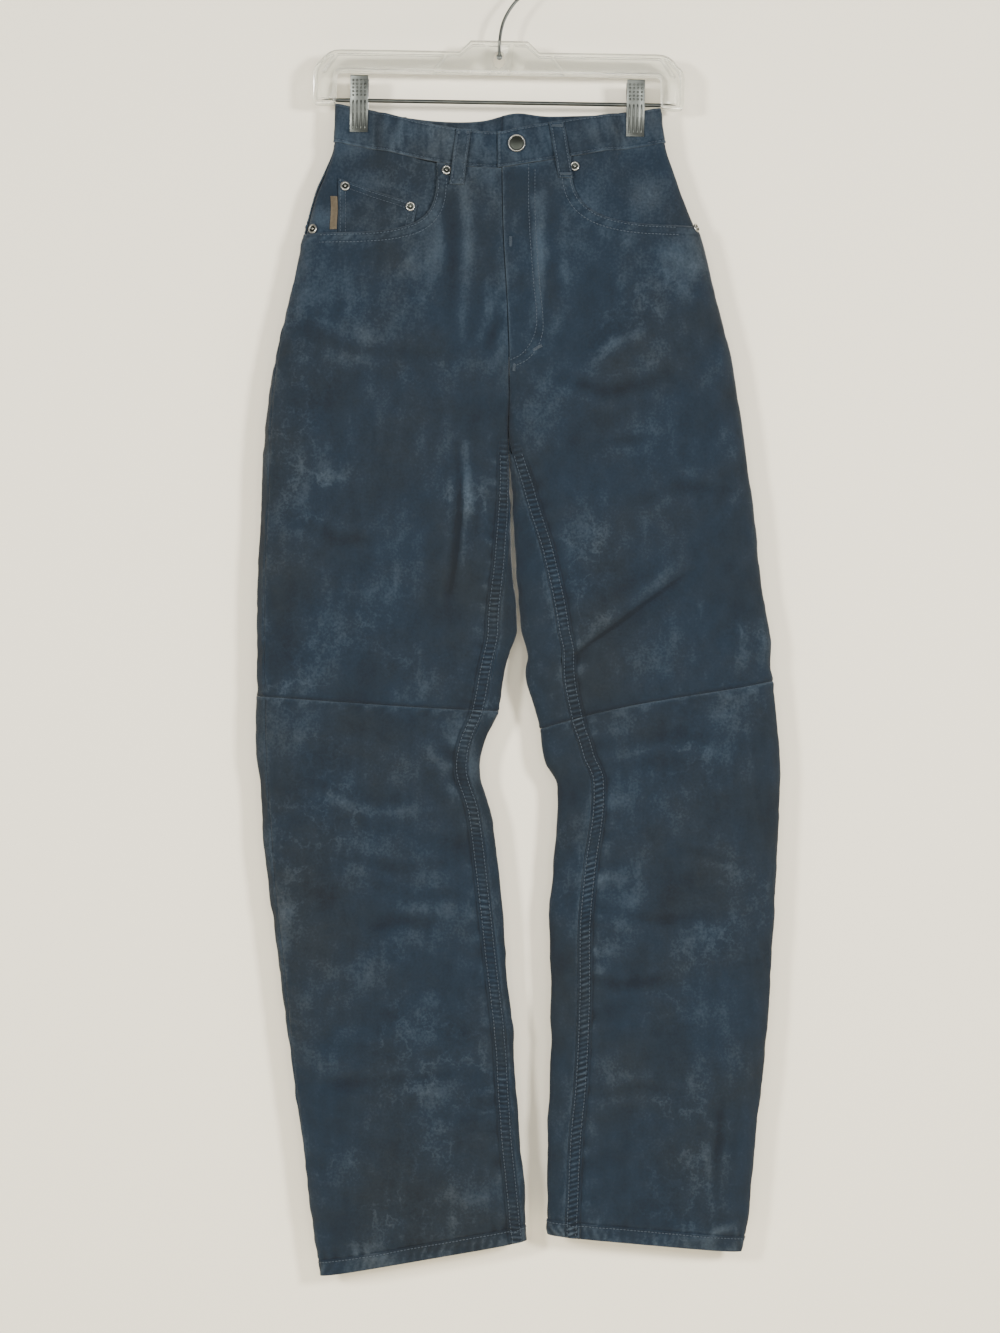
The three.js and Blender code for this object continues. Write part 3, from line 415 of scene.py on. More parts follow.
def locate(side, face, x, low):
    """The turn and section level of places given by X and level, by halving the level."""
    x, low = np.broadcast_arrays(np.asarray(x, float), np.asarray(low, float))
    start = np.full(x.shape, BAND_TOP - 30)
    end = np.full(x.shape, LAST_LEVEL)
    turn = np.zeros(x.shape)
    down = start
    for _ in range(HALVINGS):
        down = (start + end) / 2
        inner = read(side, "inner", down)
        wide = read(side, "outer", down) - inner
        turn = turn_at(side, down, "inner", np.clip((x - inner) / wide, 0, 1) * np.abs(wide))
        if face == "back":
            turn = 2 * np.pi - turn
        above = SEAM_Z - surface(side, turn, down)[..., 2] < low
        start = np.where(above, down, start)
        end = np.where(above, end, down)
    return turn, down


def surface_normals(side, turn, down):
    """Outward normals of the leather, from short steps round and down the leg."""
    step, full = 0.01, 2 * np.pi
    is_open = openness(down) > 0
    ahead = np.where(is_open, np.minimum(turn + step, full), turn + step)
    behind = np.where(is_open, np.maximum(turn - step, 0), turn - step)
    around = surface(side, ahead % (full + 1e-9), down)
    around = around - surface(side, behind % (full + 1e-9), down)
    along = surface(side, turn, down + 1) - surface(side, turn, down - 1)
    n = np.cross(around, along)
    n /= np.maximum(np.linalg.norm(n, axis=-1, keepdims=True), 1e-12)
    return n * -SIGN[side]


def line_at(values, arc, distance, axis):
    """The values that lie a distance along one axis of a grid, for each line of the other."""
    arc = np.moveaxis(arc, axis, 0)
    values = np.moveaxis(values, axis, 0)
    k = np.clip((arc < distance).sum(0) - 1, 0, len(arc) - 2)
    lines = np.arange(arc.shape[1])
    a, b = arc[k, lines], arc[k + 1, lines]
    t = ((distance - a) / (b - a))[:, None]
    return values[k, lines] * (1 - t) + values[k + 1, lines] * t


class Shell:
    """A sheet of leather: grids of its outer and inner face, with the facts that seams and
    stitches need: arc lengths from its edges, normals, and each point's wear with its
    painted light and shade."""

    def __init__(self, outer, inner, normals, wear_and_painted_light, keep=None):
        self.outer, self.inner, self.normals = outer, inner, normals
        self.wear_and_painted_light, self.keep = wear_and_painted_light, keep
        self.across = cumulative(outer, 1)
        self.along = cumulative(outer, 0)

    def row_line(self, distance, from_last=False):
        """Points and normals at an arc distance from the first or last column."""
        arc = self.across[:, -1:] - self.across if from_last else self.across
        return self._line(arc, distance, 1, from_last)

    def column_line(self, distance, from_last=False):
        """Points and normals at an arc distance from the first or last row."""
        arc = self.along[-1:] - self.along if from_last else self.along
        return self._line(arc, distance, 0, from_last)

    def _line(self, arc, distance, axis, from_last):
        """Points and normals where an arc length reaches a distance, read from either end."""
        order = (slice(None),) * axis + (slice(None, None, -1),)
        turn = order if from_last else (slice(None),)
        points = line_at(self.outer[turn], arc[turn], distance, axis)
        return points, line_at(self.normals[turn], arc[turn], distance, axis)

    def spots(self, x, low):
        """Points and normals over places given by X and level: the mean of the four nearest
        grid points, weighted by one over their distance."""
        flat = self.outer.reshape(-1, 3)
        normals = self.normals.reshape(-1, 3)
        z = SEAM_Z - np.asarray(low, float)
        found, up = [], []
        for px, pz in zip(np.asarray(x, float), z):
            away = np.hypot(flat[:, 0] - px, flat[:, 2] - pz)
            near = np.argpartition(away, 4)[:4]
            weight = 1 / (away[near] + 1e-3)
            weight /= weight.sum()
            found.append((px, weight @ flat[near, 1], pz))
            up.append(weight @ normals[near])
        return np.array(found), np.array(up)

    def mesh_data(self):
        """Vertices, four-sided faces and wear with painted light and shade: both faces and a rim
        along every open edge.
        """
        nv, nu = self.outer.shape[:2]
        at = np.arange(nv * nu).reshape(nv, nu)
        quads = np.stack([at[:-1, :-1], at[:-1, 1:], at[1:, 1:], at[1:, :-1]], -1).reshape(-1, 4)
        if self.keep is not None:
            quads = quads[self.keep.reshape(-1)]
        a, b = quads.reshape(-1), np.roll(quads, -1, axis=1).reshape(-1)
        key = np.minimum(a, b) * (nv * nu) + np.maximum(a, b)
        _, first, count = np.unique(key, return_index=True, return_counts=True)
        edge = first[count == 1]
        shift = nv * nu
        rim = np.stack([b[edge], a[edge], a[edge] + shift, b[edge] + shift], -1)
        faces = np.concatenate([quads, quads[:, ::-1] + shift, rim])
        points = np.concatenate([self.outer.reshape(-1, 3), self.inner.reshape(-1, 3)])
        wear_and_painted_light = np.concatenate([self.wear_and_painted_light.reshape(-1)] * 2)
        used = np.unique(faces)
        index = np.zeros(len(points), int)
        index[used] = np.arange(len(used))
        return points[used], index[faces], wear_and_painted_light[used]


def outward_volume(points, faces):
    """Six times the volume inside the faces, above 0 when they point outwards."""
    a, b, c, d = (points[faces[:, k]] for k in range(4))
    first = np.einsum("ij,ij->i", a, np.cross(b, c))
    return (first + np.einsum("ij,ij->i", a, np.cross(c, d))).sum()


def placed(name, mesh, material):
    """A smooth mesh as an object in the scene, riding on the root body."""
    mesh.polygons.foreach_set("use_smooth", np.ones(len(mesh.polygons), bool))
    mesh.materials.append(material)
    obj = bpy.data.objects.new(name, mesh)
    bpy.context.scene.collection.objects.link(obj)
    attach(obj, "root")
    return obj


def make_object(name, points, faces, material, slot, wear_and_painted_light=None):
    """An object from millimetre points and faces, with each point's wear and painted light and
    shade.
    """
    mesh = bpy.data.meshes.new(name)
    mesh.from_pydata((points * MM).tolist(), [], faces.tolist())
    if wear_and_painted_light is not None:
        layer = mesh.attributes.new("wear_and_painted_light", "FLOAT", "POINT")
        layer.data.foreach_set("value", wear_and_painted_light.astype(np.float32))
    mesh.update()
    return placed(name, mesh, material)


SHELLS = {}


def leather_piece(node, shell, material, slot="leather"):
    """The piece that a shell makes in place of a CAD node, with its faces turned outwards."""
    points, faces, wear_and_painted_light = shell.mesh_data()
    if outward_volume(points, faces) < 0:
        faces = faces[:, ::-1]
    obj = make_object(f"leather_{node}", points, faces, material, slot, wear_and_painted_light)
    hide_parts(node)
    SHELLS[node] = shell


def rounding(distance, radius):
    """How far an edge's rounding sinks a face: a quarter circle within its radius."""
    t = np.clip(1 - distance / radius, 0, 1)
    return radius * (1 - np.sqrt(1 - t * t))


def near_edges(reach, step, total):
    """Distances from 0 to total, close together at both ends and even between."""
    close = np.array([0, 0.15, 0.4, 0.8, 1.4, 2.2, 3.2, 4.4, 5.8])
    close = close[close < reach]
    count = max(2, int(round((total - 2 * reach) / step)))
    middle = np.linspace(reach, total - reach, count + 1)
    return np.concatenate([close, middle, (total - close)[::-1]])


FELL_STEPS = (0, 0.2, 0.5, 1.0, 1.7, 2.4, 3.3, 5.0, 6.8, 8.6, 10.2, 10.9, 11.5, 12.2, 12.9,
              13.6, 14.3, 15.0)
EDGE_STEPS = (0, 0.2, 0.5, 1.0, 1.7, 2.6, 3.8)
ROW_STEP = {"front": 1.75, "back": 3.2}
COLUMN_STEP = {"front": 3.0, "back": 3.6}
USUAL_WIDTH = 215.0        # of a panel, which sets its number of columns
EDGE_REACH = 7.0           # rows are close together as far in as this
PANEL_SEED = {"right": 3, "left": 7, "front": 0, "back": 20}
PANEL_ROUND = 0.45         # radius of a panel's cut edges
QUIET = 10.0               # swells grow to their full height over this length


def panel_turns(side, face, down):
    """The turns of a panel's columns at each level: at set lengths of leather from both
    seams, and evenly spread between."""
    inseam = turn_at(side, down, "inner", read(side, "inseam", down))
    outseam = turn_at(side, down, "outer", read(side, "outseam", down))
    far = 2 * np.pi + inseam
    first = step_along(side, down, inseam if face == "front" else outseam, SEAM_GAP / 2)
    last = step_along(side, down, outseam if face == "front" else far, -SEAM_GAP / 2)
    near = FELL_STEPS if face == "front" else EDGE_STEPS
    head = [step_along(side, down, first, d) for d in near]
    tail = [step_along(side, down, last, -d) for d in EDGE_STEPS[::-1]]
    count = int(round(USUAL_WIDTH / COLUMN_STEP[face]))
    parts = np.linspace(0, 1, count + 1)[1:-1]
    middle = [mix(head[-1], tail[0], part) for part in parts]
    return np.stack(head + middle + tail, axis=1)


def wrapped(turn):
    """A turn past the full circle brought back into it."""
    return np.where(turn > 2 * np.pi, turn - 2 * np.pi, turn)


YOKE_SIDE = 52.0           # level of the yoke's seam at the outseam
YOKE_CENTRE = 92.0         # and at the centre back
YOKE_CURVE = 0.6


def yoke_seam(u):
    """Level of the yoke's seam from the outseam at u = 0 to the centre back at u = 1."""
    return mix(YOKE_SIDE, YOKE_CENTRE, ease(u * 1.15) * YOKE_CURVE + u * (1 - YOKE_CURVE))


def mouth_measure(side, x, low):
    """1 on the pocket mouth's edge and below 1 inside it: the distance of a rounded
    rectangle's quarter, (u^p + v^p)^(1/p), with a slight slope beyond its corner."""
    m = MOUTHS[side]
    sign = np.sign(m["across"])
    u = np.clip((x - m["corner"]) / m["across"], 0, None)
    beyond = np.clip((m["corner"] - x) * sign / 28, 0, 1)
    v = np.clip((low - m["top"] + 5 * beyond) / m["drop"], 0, None)
    return (u ** m["power"] + v ** m["power"]) ** (1 / m["power"]), u, v, beyond


def mouth_line(side, grow=0.0, count=60, first=0.0, last=1.0):
    """X and level of points along the mouth's edge, or of a line a set way outside it."""
    m = MOUTHS[side]
    angle = np.linspace(first, last, count) * np.pi / 2
    across = m["across"] + np.sign(m["across"]) * grow
    x = m["corner"] + across * np.cos(angle) ** (2 / m["power"])
    low = m["top"] + (m["drop"] + grow) * np.sin(angle) ** (2 / m["power"])
    return x, low


FLY_ROW = np.array([
    (33.1, 0.8), (33.1, 42.6), (34.9, 78.9), (37.6, 114.3), (40.3, 142.5), (40.3, 155.2),
    (34.9, 171.6), (25.7, 182.4), (15.0, 187.9),
])


def fly_line(inset=0.0):
    """X and level of the fly's curved stitching, a set way inside its outer row."""
    x, low = FLY_ROW.T
    return smooth_line(x - inset, low - inset * 0.8, 70)


def smooth_line(x, low, count):
    """A smooth line through points: cubic pieces by chord length with shared slopes."""
    x, low = np.asarray(x, float), np.asarray(low, float)
    t = np.concatenate([[0], np.cumsum(np.hypot(np.diff(x), np.diff(low)))])
    at = np.linspace(0, t[-1], count)
    k = np.clip(np.searchsorted(t, at) - 1, 0, len(t) - 2)
    run = t[k + 1] - t[k]
    w = (at - t[k]) / run
    out = []
    for values in (x, low):
        slopes = np.gradient(values, t)
        out.append(cubic(w, run, values[k], values[k + 1], slopes[k], slopes[k + 1]))
    return out


def line_near(x, low, line_x, line_low):
    """Distance of places to a line of points."""
    return line_distance(x, low, list(zip(line_x, line_low)))[0]


RIB_PITCH = 5.0            # of the felled inseam's ribs
ROPE_PITCH = 9.5           # of the hem's roping
HEM_ROW = 13.0             # the hem's row of thread, up from its foot
HEM_STEPS = np.array([16.6, 15.8, 15.0, 14.2, 13.4])
MOUTH_ROWS = (2.0, 9.0)    # the pocket mouth's rows of thread
FLY_FOOT = 186.0           # level at which the fly ends


def seam_relief(distance, length, seed, strength=1.0):
    """A sewn edge: a low ridge beside it and short puckers that die out away from it."""
    pucker = swell(length, 13.5, seed)
    ridge = 0.4 * bell(distance - 2.2, 1.8)
    return ridge + strength * 0.6 * pucker * np.exp(-distance / 9) * ease(distance / 2)


def stitch_groove(distance, at):
    """The groove that a row of thread pulls: a bell 0.8 wide and 0.4 deep."""
    return -0.4 * bell(distance - at, 0.8)


class Relief:
    """A panel's relief while it is summed up: its grid, the lengths of leather from its
    edges, and the sums of its broad height, its fine height and its wear with painted light
    and shade."""

    def __init__(self, side, face, base, level, seed, strength):
        self.side, self.face, self.level = side, face, level
        self.seed, self.strength = seed, strength
        self.across, self.from_last, self.along, self.from_foot = edge_distances(base)
        self.x, self.low = base[..., 0], SEAM_Z - base[..., 2]
        self.height, self.fine, self.wear_and_painted_light = (np.zeros(level.shape) for _ in range(3))

    def edge(self):
        """Length of leather to the nearest edge."""
        return np.minimum(np.minimum(self.across, self.from_last),
                          np.minimum(self.along, self.from_foot))


def add_creases(r):
    """The creases and three sizes of soft swells, calmer near the edges. Painted light and
    shade follow the height: lighter on swells and crease ridges, darker in troughs. The
    colour is also lighter towards the waist and varies in two sizes of clouds."""
    creases = r.strength * crease_height(r.side, r.face, r.x, r.low)
    broad = 0.7 * ripple(r.x, r.low, 80, r.seed) + 0.3 * ripple(1.6 * r.x, r.low, 30, r.seed + 1)
    r.height = creases + r.strength * broad
    r.height += r.strength * 0.1 * ripple(1.5 * r.x, r.low, 11, r.seed + 2)
    r.height *= ease(r.edge() / QUIET + 0.25)
    # painted light and shade from the height and the creases, and lighter towards the waist
    r.wear_and_painted_light = 0.16 * r.height + 0.22 * creases + 0.15 * (1 - ease((r.low - 30) / 220))
    r.wear_and_painted_light += 0.05 * ripple(r.x, r.low, 60, r.seed + 3)
    r.wear_and_painted_light += 0.05 * ripple(1.8 * r.x, r.low, 24, r.seed + 4)


def add_inseam(r):
    """The felled inseam below the crotch: a raised strip with uneven slanting ribs, two
    grooves for its thread, a trough beside it and puckers that die out beyond. The ribs get
    painted highlights on their crests and painted shade between, the strip is lighter in
    its middle, the trough gets painted shade, and the seam's edge is lighter, partly wear
    and partly a painted highlight."""
    below = ease((r.level - CROTCH) / 40)
    felled = below * (1 - ease((r.across - FELLED) / 1.6))
    wobble = 0.9 * swell(r.along, 40, r.seed + 5, 9) + 0.12 * r.across
    uneven = 0.85 + 0.35 * swell(r.along, 60, r.seed + 13)
    ribs = 0.55 * np.clip(uneven, 0.2, 1.5) * np.sin(r.along * 2 * np.pi / RIB_PITCH + wobble)
    ribs *= ease((r.across - 1.6) / 1.6) * ease((FELLED - 0.6 - r.across) / 1.6)
    grooves = [stitch_groove(r.across, row) for row in FELL_ROWS]
    beyond = np.maximum(r.across - FELLED, 0)
    trough = bell(beyond - 0.8, 0.9)
    pucker = 0.4 * swell(r.along, 13, r.seed + 6) * np.exp(-beyond / 8)
    r.height += felled * 0.75
    r.fine += felled * (ribs + grooves[0] + grooves[1])
    r.fine += below * (ease(beyond) * pucker - 0.5 * trough)
    # painted highlights on the ribs' crests and the strip's middle, painted shade between the ribs
    r.wear_and_painted_light += felled * (0.5 * ribs + 0.12 * bell(r.across - 6, 6))
    # the seam's edge lighter, partly wear and partly a painted highlight; painted shade in the
    # trough
    r.wear_and_painted_light += below * (0.34 * np.exp(-r.across / 0.9) - 0.2 * trough)


def add_centre_front(r):
    """The fronts at the fly: the left one rises to lap over the right one, which sinks, and
    both are creased about the crotch and gathered below the waistband."""
    above = ease((CROTCH - 15 - r.level) / 30)
    if r.side == "left":
        over = above * (1 - ease(r.across / 7))
        r.height += over * (0.6 - 0.3 * ease(1 - r.across / 1.5))
    else:
        r.height -= 0.5 * above * (1 - ease((r.across - 2) / 6))
    crotch = bell(r.x - CENTRE, 70) * bell(r.low - 150, 90)
    gathers = np.exp(-r.along / 26) * ease(r.along / 4)
    r.height += r.strength * 0.5 * crotch * ripple(2.0 * r.x, 0.6 * r.low, 24, r.seed + 15)
    r.height += r.strength * 0.45 * gathers * ripple(r.across, 0.15 * r.along, 15, r.seed + 16)


def add_outseam(r):
    """The front's outseam: a sewn ridge with puckers, lighter along its edge: partly wear and
    partly a painted highlight.
    """
    r.height += seam_relief(r.from_last, r.along, r.seed + 7, 0.8)
    # lighter edge along the seam: partly wear, partly a painted highlight
    r.wear_and_painted_light += 0.28 * np.exp(-r.from_last / 4)


def add_back_seams(r):
    """Both long seams of a back, lighter along their edges (partly wear, partly a painted
    highlight), and the raised strip with two rows of thread beside the centre back."""
    for edge in (r.across, r.from_last):
        r.height += seam_relief(edge, r.along, r.seed + 8, 0.8)
        # lighter edge along each seam: partly wear, partly a painted highlight
        r.wear_and_painted_light += 0.24 * np.exp(-edge / 4)
    above = 1 - ease((r.level - CROTCH + 20) / 40)
    r.fine += above * (stitch_groove(r.from_last, 2) + stitch_groove(r.from_last, 8))
    r.height += above * 0.5 * (1 - ease((r.from_last - 9) / 1.2))


def add_hem(r):
    """The turned hem: a raised band with slanting, uneven roping between its edges, a groove
    for its thread, a trough above it and puckers that die out upwards. The band is lighter,
    partly wear and partly painted light, most at its foot, with painted highlights on the
    roping's crests. Gives the band."""
    band = 1 - ease((r.from_foot - HEM + 0.5) / 1)
    rope = np.sin((r.across + 0.3 * r.from_foot) * 2 * np.pi / ROPE_PITCH
                  + 1.6 * ripple(r.across, r.from_foot, 34, r.seed + 9, 5))
    rope *= np.clip(0.7 + 0.5 * swell(r.across, 55, r.seed + 18), 0.1, 1.4)
    inside = ease(r.from_foot / 3) * ease((HEM - 2 - r.from_foot) / 3)
    pucker = 0.4 * swell(r.across, 9, r.seed + 10) * np.exp(-np.maximum(r.from_foot - HEM, 0) / 7)
    r.height += band * 0.4
    r.fine += band * 0.34 * rope * inside - 0.5 * bell(r.from_foot - HEM - 0.4, 0.9)
    r.fine += stitch_groove(r.from_foot, HEM_ROW) + pucker * (r.from_foot > HEM)
    # the band lighter, partly wear and partly painted light, most at its foot; painted highlights
    # on the roping's crests
    r.wear_and_painted_light += band * (0.12 + 0.14 * np.exp(-r.from_foot / 2.5) + 0.07 * rope)
    return band


def add_foot_seam(r):
    """The seam at the foot of a yoke or thigh: a low ridge that shades the next panel, and
    painted shade in a narrow band just above the seam.
    """
    r.height += seam_relief(r.from_foot, r.across, r.seed + 11, 0.6)
    # painted shade: a darker band just above the seam
    r.wear_and_painted_light -= 0.35 * bell(r.from_foot - 1.4, 1.5)


def add_top_seam(r):
    """The seam at a panel's top: a ridge with puckers and an edge painted lighter, partly wear
    and partly a painted highlight.
    """
    r.height += seam_relief(r.along, r.across, r.seed + 12)
    # lighter top edge: partly wear, partly a painted highlight
    r.wear_and_painted_light += 0.5 * np.exp(-r.along / 1.5)


def add_knee_blocks(r):
    """Short raised blocks below the knee seam, where the leather is eased in: lighter on top,
    partly wear and partly a painted highlight, with painted shade between them.
    """
    blocks = ease(2.2 * swell(r.across, 13, r.seed + 14, 4) + 0.1)
    fade = ease((9 - r.along) / 3) * ease((r.along - 1) / 2) * ease(r.across / 20)
    # blocks lighter, partly wear and partly a painted highlight; painted shade between them
    r.wear_and_painted_light += fade * (0.17 * blocks - 0.10 * (1 - blocks))
    r.height += 0.35 * blocks * fade


def add_mouth(r):
    """The pocket mouth: a doubled edge with two rows of thread, slanting tucks between them
    and a rounded rim; the rim and the raised doubled edge are painted lighter, partly wear
    and partly a painted highlight."""
    away = line_near(r.x, r.low, *mouth_line(r.side))
    beyond = np.where(mouth_measure(r.side, r.x, r.low)[0] < 1, 0, away)
    doubled = 1 - ease((beyond - 10) / 1.2)
    slant = r.x + r.low + 300
    tucks = ripple(slant, slant, 11, r.seed + 17, 5)
    r.height += 0.45 * doubled
    r.fine += stitch_groove(beyond, MOUTH_ROWS[0]) + stitch_groove(beyond, MOUTH_ROWS[1])
    r.fine += 0.22 * tucks * bell(beyond - 5.5, 3)
    r.height -= rounding(beyond, 0.8)
    # lighter rim and doubled edge: partly wear, partly a painted highlight
    r.wear_and_painted_light += 0.30 * np.exp(-beyond / 1.6) + 0.07 * doubled


def add_fly(r):
    """The left front's fly: a raised strip inside its curved stitching, with a groove on each
    row of thread, a band along the stitching painted a little lighter, and a front edge
    painted lighter, partly wear and partly a painted highlight."""
    row_x, row_low = fly_line()
    straight = len(row_low) * 2 // 3
    fly = r.x < np.interp(r.low, row_low[:straight], row_x[:straight])
    fly = fly * (1 - ease((r.low - FLY_FOOT) / 4)) * ease((CROTCH - 50 - r.low) / 10 + 1)
    away = line_near(r.x, r.low, row_x, row_low)
    fly = fly * ease(away / 2)
    r.height += fly * (0.45 + 0.35 * bell(r.across - 2, 3))
    r.fine -= 0.3 * (bell(away, 0.9) + fly * bell(away - 6, 0.9))
    # lighter band along the stitching; lighter front edge, partly wear and partly a painted
    # highlight
    r.wear_and_painted_light += 0.10 * bell(away, 3) + 0.5 * np.exp(-r.across / 1.3) * ease((CROTCH - r.low) / 30)


def panel_grid(side, face, top, foot, top_slope, foot_slope, hem):
    """Turns and levels of a panel's grid: rows close together at its ends and about its hem,
    columns at set lengths of leather, and the levels slanted where its ends slope."""
    rows = near_edges(EDGE_REACH, ROW_STEP[face], foot - top)
    if hem:
        rows = np.concatenate([rows, foot - top - HEM_STEPS])
    rows = np.unique(np.round(rows, 3)) + top
    part = ((rows - top) / (foot - top))[:, None]
    turns = panel_turns(side, face, rows)
    if top_slope or foot_slope:
        u = ((turns - turns[:, :1]) / (turns[:, -1:] - turns[:, :1])).mean(0)[None, :]
    else:
        u = np.linspace(0, 1, turns.shape[1])[None, :]
    slopes = [slope(u) if slope else 0 * u for slope in (top_slope, foot_slope)]
    level = rows[:, None] + mix(*slopes, part) + mix(SEAM_GAP, -SEAM_GAP, part) * 0.7
    if top_slope or foot_slope:
        turns = np.stack([
            column_turn(side, face, level[:, i], turns[:, i], rows)
            for i in range(turns.shape[1])
        ], axis=1)
    return wrapped(turns) if face == "back" else turns, level


def panel_shell(side, face, top, foot, strength, top_slope=None, foot_slope=None, hem=False):
    """One cut panel between two levels: a grid on the leg's surface with its relief on the
    outer face and, more quietly, on the inner one a layer of leather below."""
    turns, level = panel_grid(side, face, top, foot, top_slope, foot_slope, hem)
    base = surface(side, turns, level)
    seed = PANEL_SEED[side] + PANEL_SEED[face] + int(top)
    relief = Relief(side, face, base, level, seed, strength)
    at_waist = face == "front" and top == 0
    add_creases(relief)
    if face == "front":
        add_inseam(relief)
    if at_waist:
        add_centre_front(relief)
    (add_outseam if face == "front" else add_back_seams)(relief)
    band = add_hem(relief) if hem else add_foot_seam(relief)
    add_top_seam(relief)
    if hem:
        add_knee_blocks(relief)

    keep = None
    if at_waist:
        add_mouth(relief)
        if side == "left":
            add_fly(relief)
        else:
            # the right front's edge at the fly lighter: partly wear, partly a painted highlight
            relief.wear_and_painted_light += 0.12 * np.exp(-relief.across / 5)
        keep, base, turns, level = cut_mouth(side, base, turns, level)
    normals = surface_normals(side, turns, level)
    height = relief.height + relief.fine
    sunk = rounding(relief.edge(), PANEL_ROUND)
    outer = base + normals * (height - sunk)[..., None]
    under = 0.85 * np.minimum(height, 0) + 0.25 * np.maximum(height - 0.9, 0)
    thick = LEATHER + (band if hem else 0)
    inner = base + normals * (under - thick + sunk)[..., None]
    # the fine relief painted into the colour: painted shade in grooves, troughs and hollows,
    # painted highlights on crests
    wear_and_painted_light = relief.wear_and_painted_light + 0.6 * relief.fine
    return Shell(outer, inner, grid_normals(outer, -SIGN[side]), wear_and_painted_light, keep)


def column_turn(side, face, level, turn, rows):
    """A column's turns carried over to its own slanting levels, by straight interpolation,
    and kept short of the back's inner end."""
    slope = np.gradient(turn, rows)
    moved = turn + slope * (level - rows)
    end = 2 * np.pi + turn_at(side, level, "inner", read(side, "inseam", level))
    return np.minimum(moved, end - 1e-3) if face == "back" else moved


def cut_mouth(side, base, turns, level):
    """Which cells stay outside the pocket mouth, with the points on its edge moved onto it."""
    x, low = base[..., 0], SEAM_Z - base[..., 2]
    measure, u, v, beyond = mouth_measure(side, x, low)
    middle = (measure[:-1, :-1] + measure[1:, :-1] + measure[:-1, 1:] + measure[1:, 1:]) / 4
    keep = middle > 1
    kept = np.zeros(x.shape, int)
    lost = np.zeros(x.shape, int)
    for rows in (slice(None, -1), slice(1, None)):
        for cols in (slice(None, -1), slice(1, None)):
            kept[rows, cols] += keep
            lost[rows, cols] += ~keep
    edge = (kept > 0) & (lost > 0)
    m = MOUTHS[side]
    new_x = np.where(u > 0, m["corner"] + u / measure * m["across"], x)[edge]
    new_low = (m["top"] - 5 * beyond + v / measure * m["drop"])[edge]
    new_turn, new_level = locate(side, "front", new_x, new_low)
    turns, level = turns.copy(), level.copy()
    turns[edge], level[edge] = new_turn, new_level
    base = surface(side, turns, level)
    return keep, base, turns, level


LAP_END = {"right": 26.0, "left": -2.0}
LAP_RISE = 1.5
LAP_SINK = 1.8
BAND_ROW = 2.6             # the waistband's row of thread, in from each edge


def waistband_shell(side):
    """One half of the waistband: round from the centre back over its side fold to the front
    and on over the other side's surface to its end, with both long edges rounded."""
    sign, other = SIGN[side], {"right": "left", "left": "right"}[side]
    past = abs(LAP_END[side] - CENTRE)
    ends = np.array([1.5, 0.8, 0.3, 0])
    reach = np.concatenate([np.arange(0.4, past - 2.4, 2.0), past - ends])
    half = np.linspace(0, 1, 82)
    points, normals = [], []
    for level in BAND_TOP + near_edges(3.2, 1.7, -BAND_TOP - SEAM_GAP):
        centre = turn_at(side, level, "inner", 0.25)
        own = np.concatenate([mix(2 * np.pi - 0.004, np.pi, half), mix(np.pi, centre, half[1:])])
        beyond = turn_at(other, level, "inner", reach)
        spots = ((side, own), (other, beyond))
        points.append(np.concatenate([surface(leg, turn, level) for leg, turn in spots]))
        normals.append(np.concatenate([surface_normals(leg, turn, level) for leg, turn in spots]))
    base, normals = np.stack(points), np.stack(normals)
    x, front = base[..., 0], base[..., 1] < 0
    if side == "right":
        rise = -LAP_SINK * ease((x + 26) / 20)
    else:
        rise = LAP_RISE * (1 - ease((x - 29) / 14))
    lift = BAND_LIFT + np.where(front & (np.abs(x) < 120), rise, 0)
    across, from_last, along, from_foot = edge_distances(base)
    seed = 31 if side == "right" else 37
    fine = sum(stitch_groove(edge, BAND_ROW) for edge in (along, from_foot, from_last))
    fine += 0.3 * swell(across, 12, seed + 2) * np.exp(-from_foot / 6)
    fine += 0.16 * ripple(across, 0.3 * along, 10, seed + 4)
    height = 0.28 * ripple(across, along, 42, seed) + 0.12 * ripple(across, along, 14, seed + 1)
    height = (height + fine) * (1 - bell(np.abs(x - CLIP_X[side]), 12))
    sunk = rounding(np.minimum(along, from_last), 1.1) + rounding(from_foot, 0.6)
    sunk += rounding(across, 0.25)
    outer = base + normals * (lift + height - sunk)[..., None]
    inner = base + normals * (lift - BAND_THICK + 0.4 * height + sunk)[..., None]
    outer[:, 0, 0] = inner[:, 0, 0] = CENTRE - sign * 0.03
    # painted light and shade: lighter on the band's swells, darker in its stitch grooves; its
    # edges and end lighter, partly wear and partly a painted highlight; the whole band a little
    # lighter
    wear_and_painted_light = 0.26 + 0.2 * height + 0.5 * fine + 0.2 * np.exp(-along / 2)
    wear_and_painted_light += 0.24 * np.exp(-from_foot / 1.4) + 0.24 * np.exp(-from_last / 1.4)
    wear_and_painted_light += 0.04 * ripple(across, along, 30, seed + 3)
    return Shell(outer, inner, grid_normals(outer, -sign), wear_and_painted_light)


COIN_THICK = 1.0
COIN_NEST = 0.9            # extra room under the coin pocket
FACING_FOOT = 84.0         # level of a facing's foot
FACING_THICK = 1.0


def facing_depth(side, x, down):
    """Depth of a pocket facing below the surface: deeper behind the coin pocket and level
    with the front at the mouth's upper end."""
    m = MOUTHS[side]
    room = (COIN_THICK + SEAM_GAP + COIN_NEST) * ease((x + 177) / 9) if side == "right" else 0
    past = np.abs(x - m["corner"] - m["across"])
    shallow = (1 - ease((down - 2) / 30)) * ease((past - 10) / 20)
    return mix(LEATHER + SEAM_GAP + 0.5 + room, 0.4, shallow)


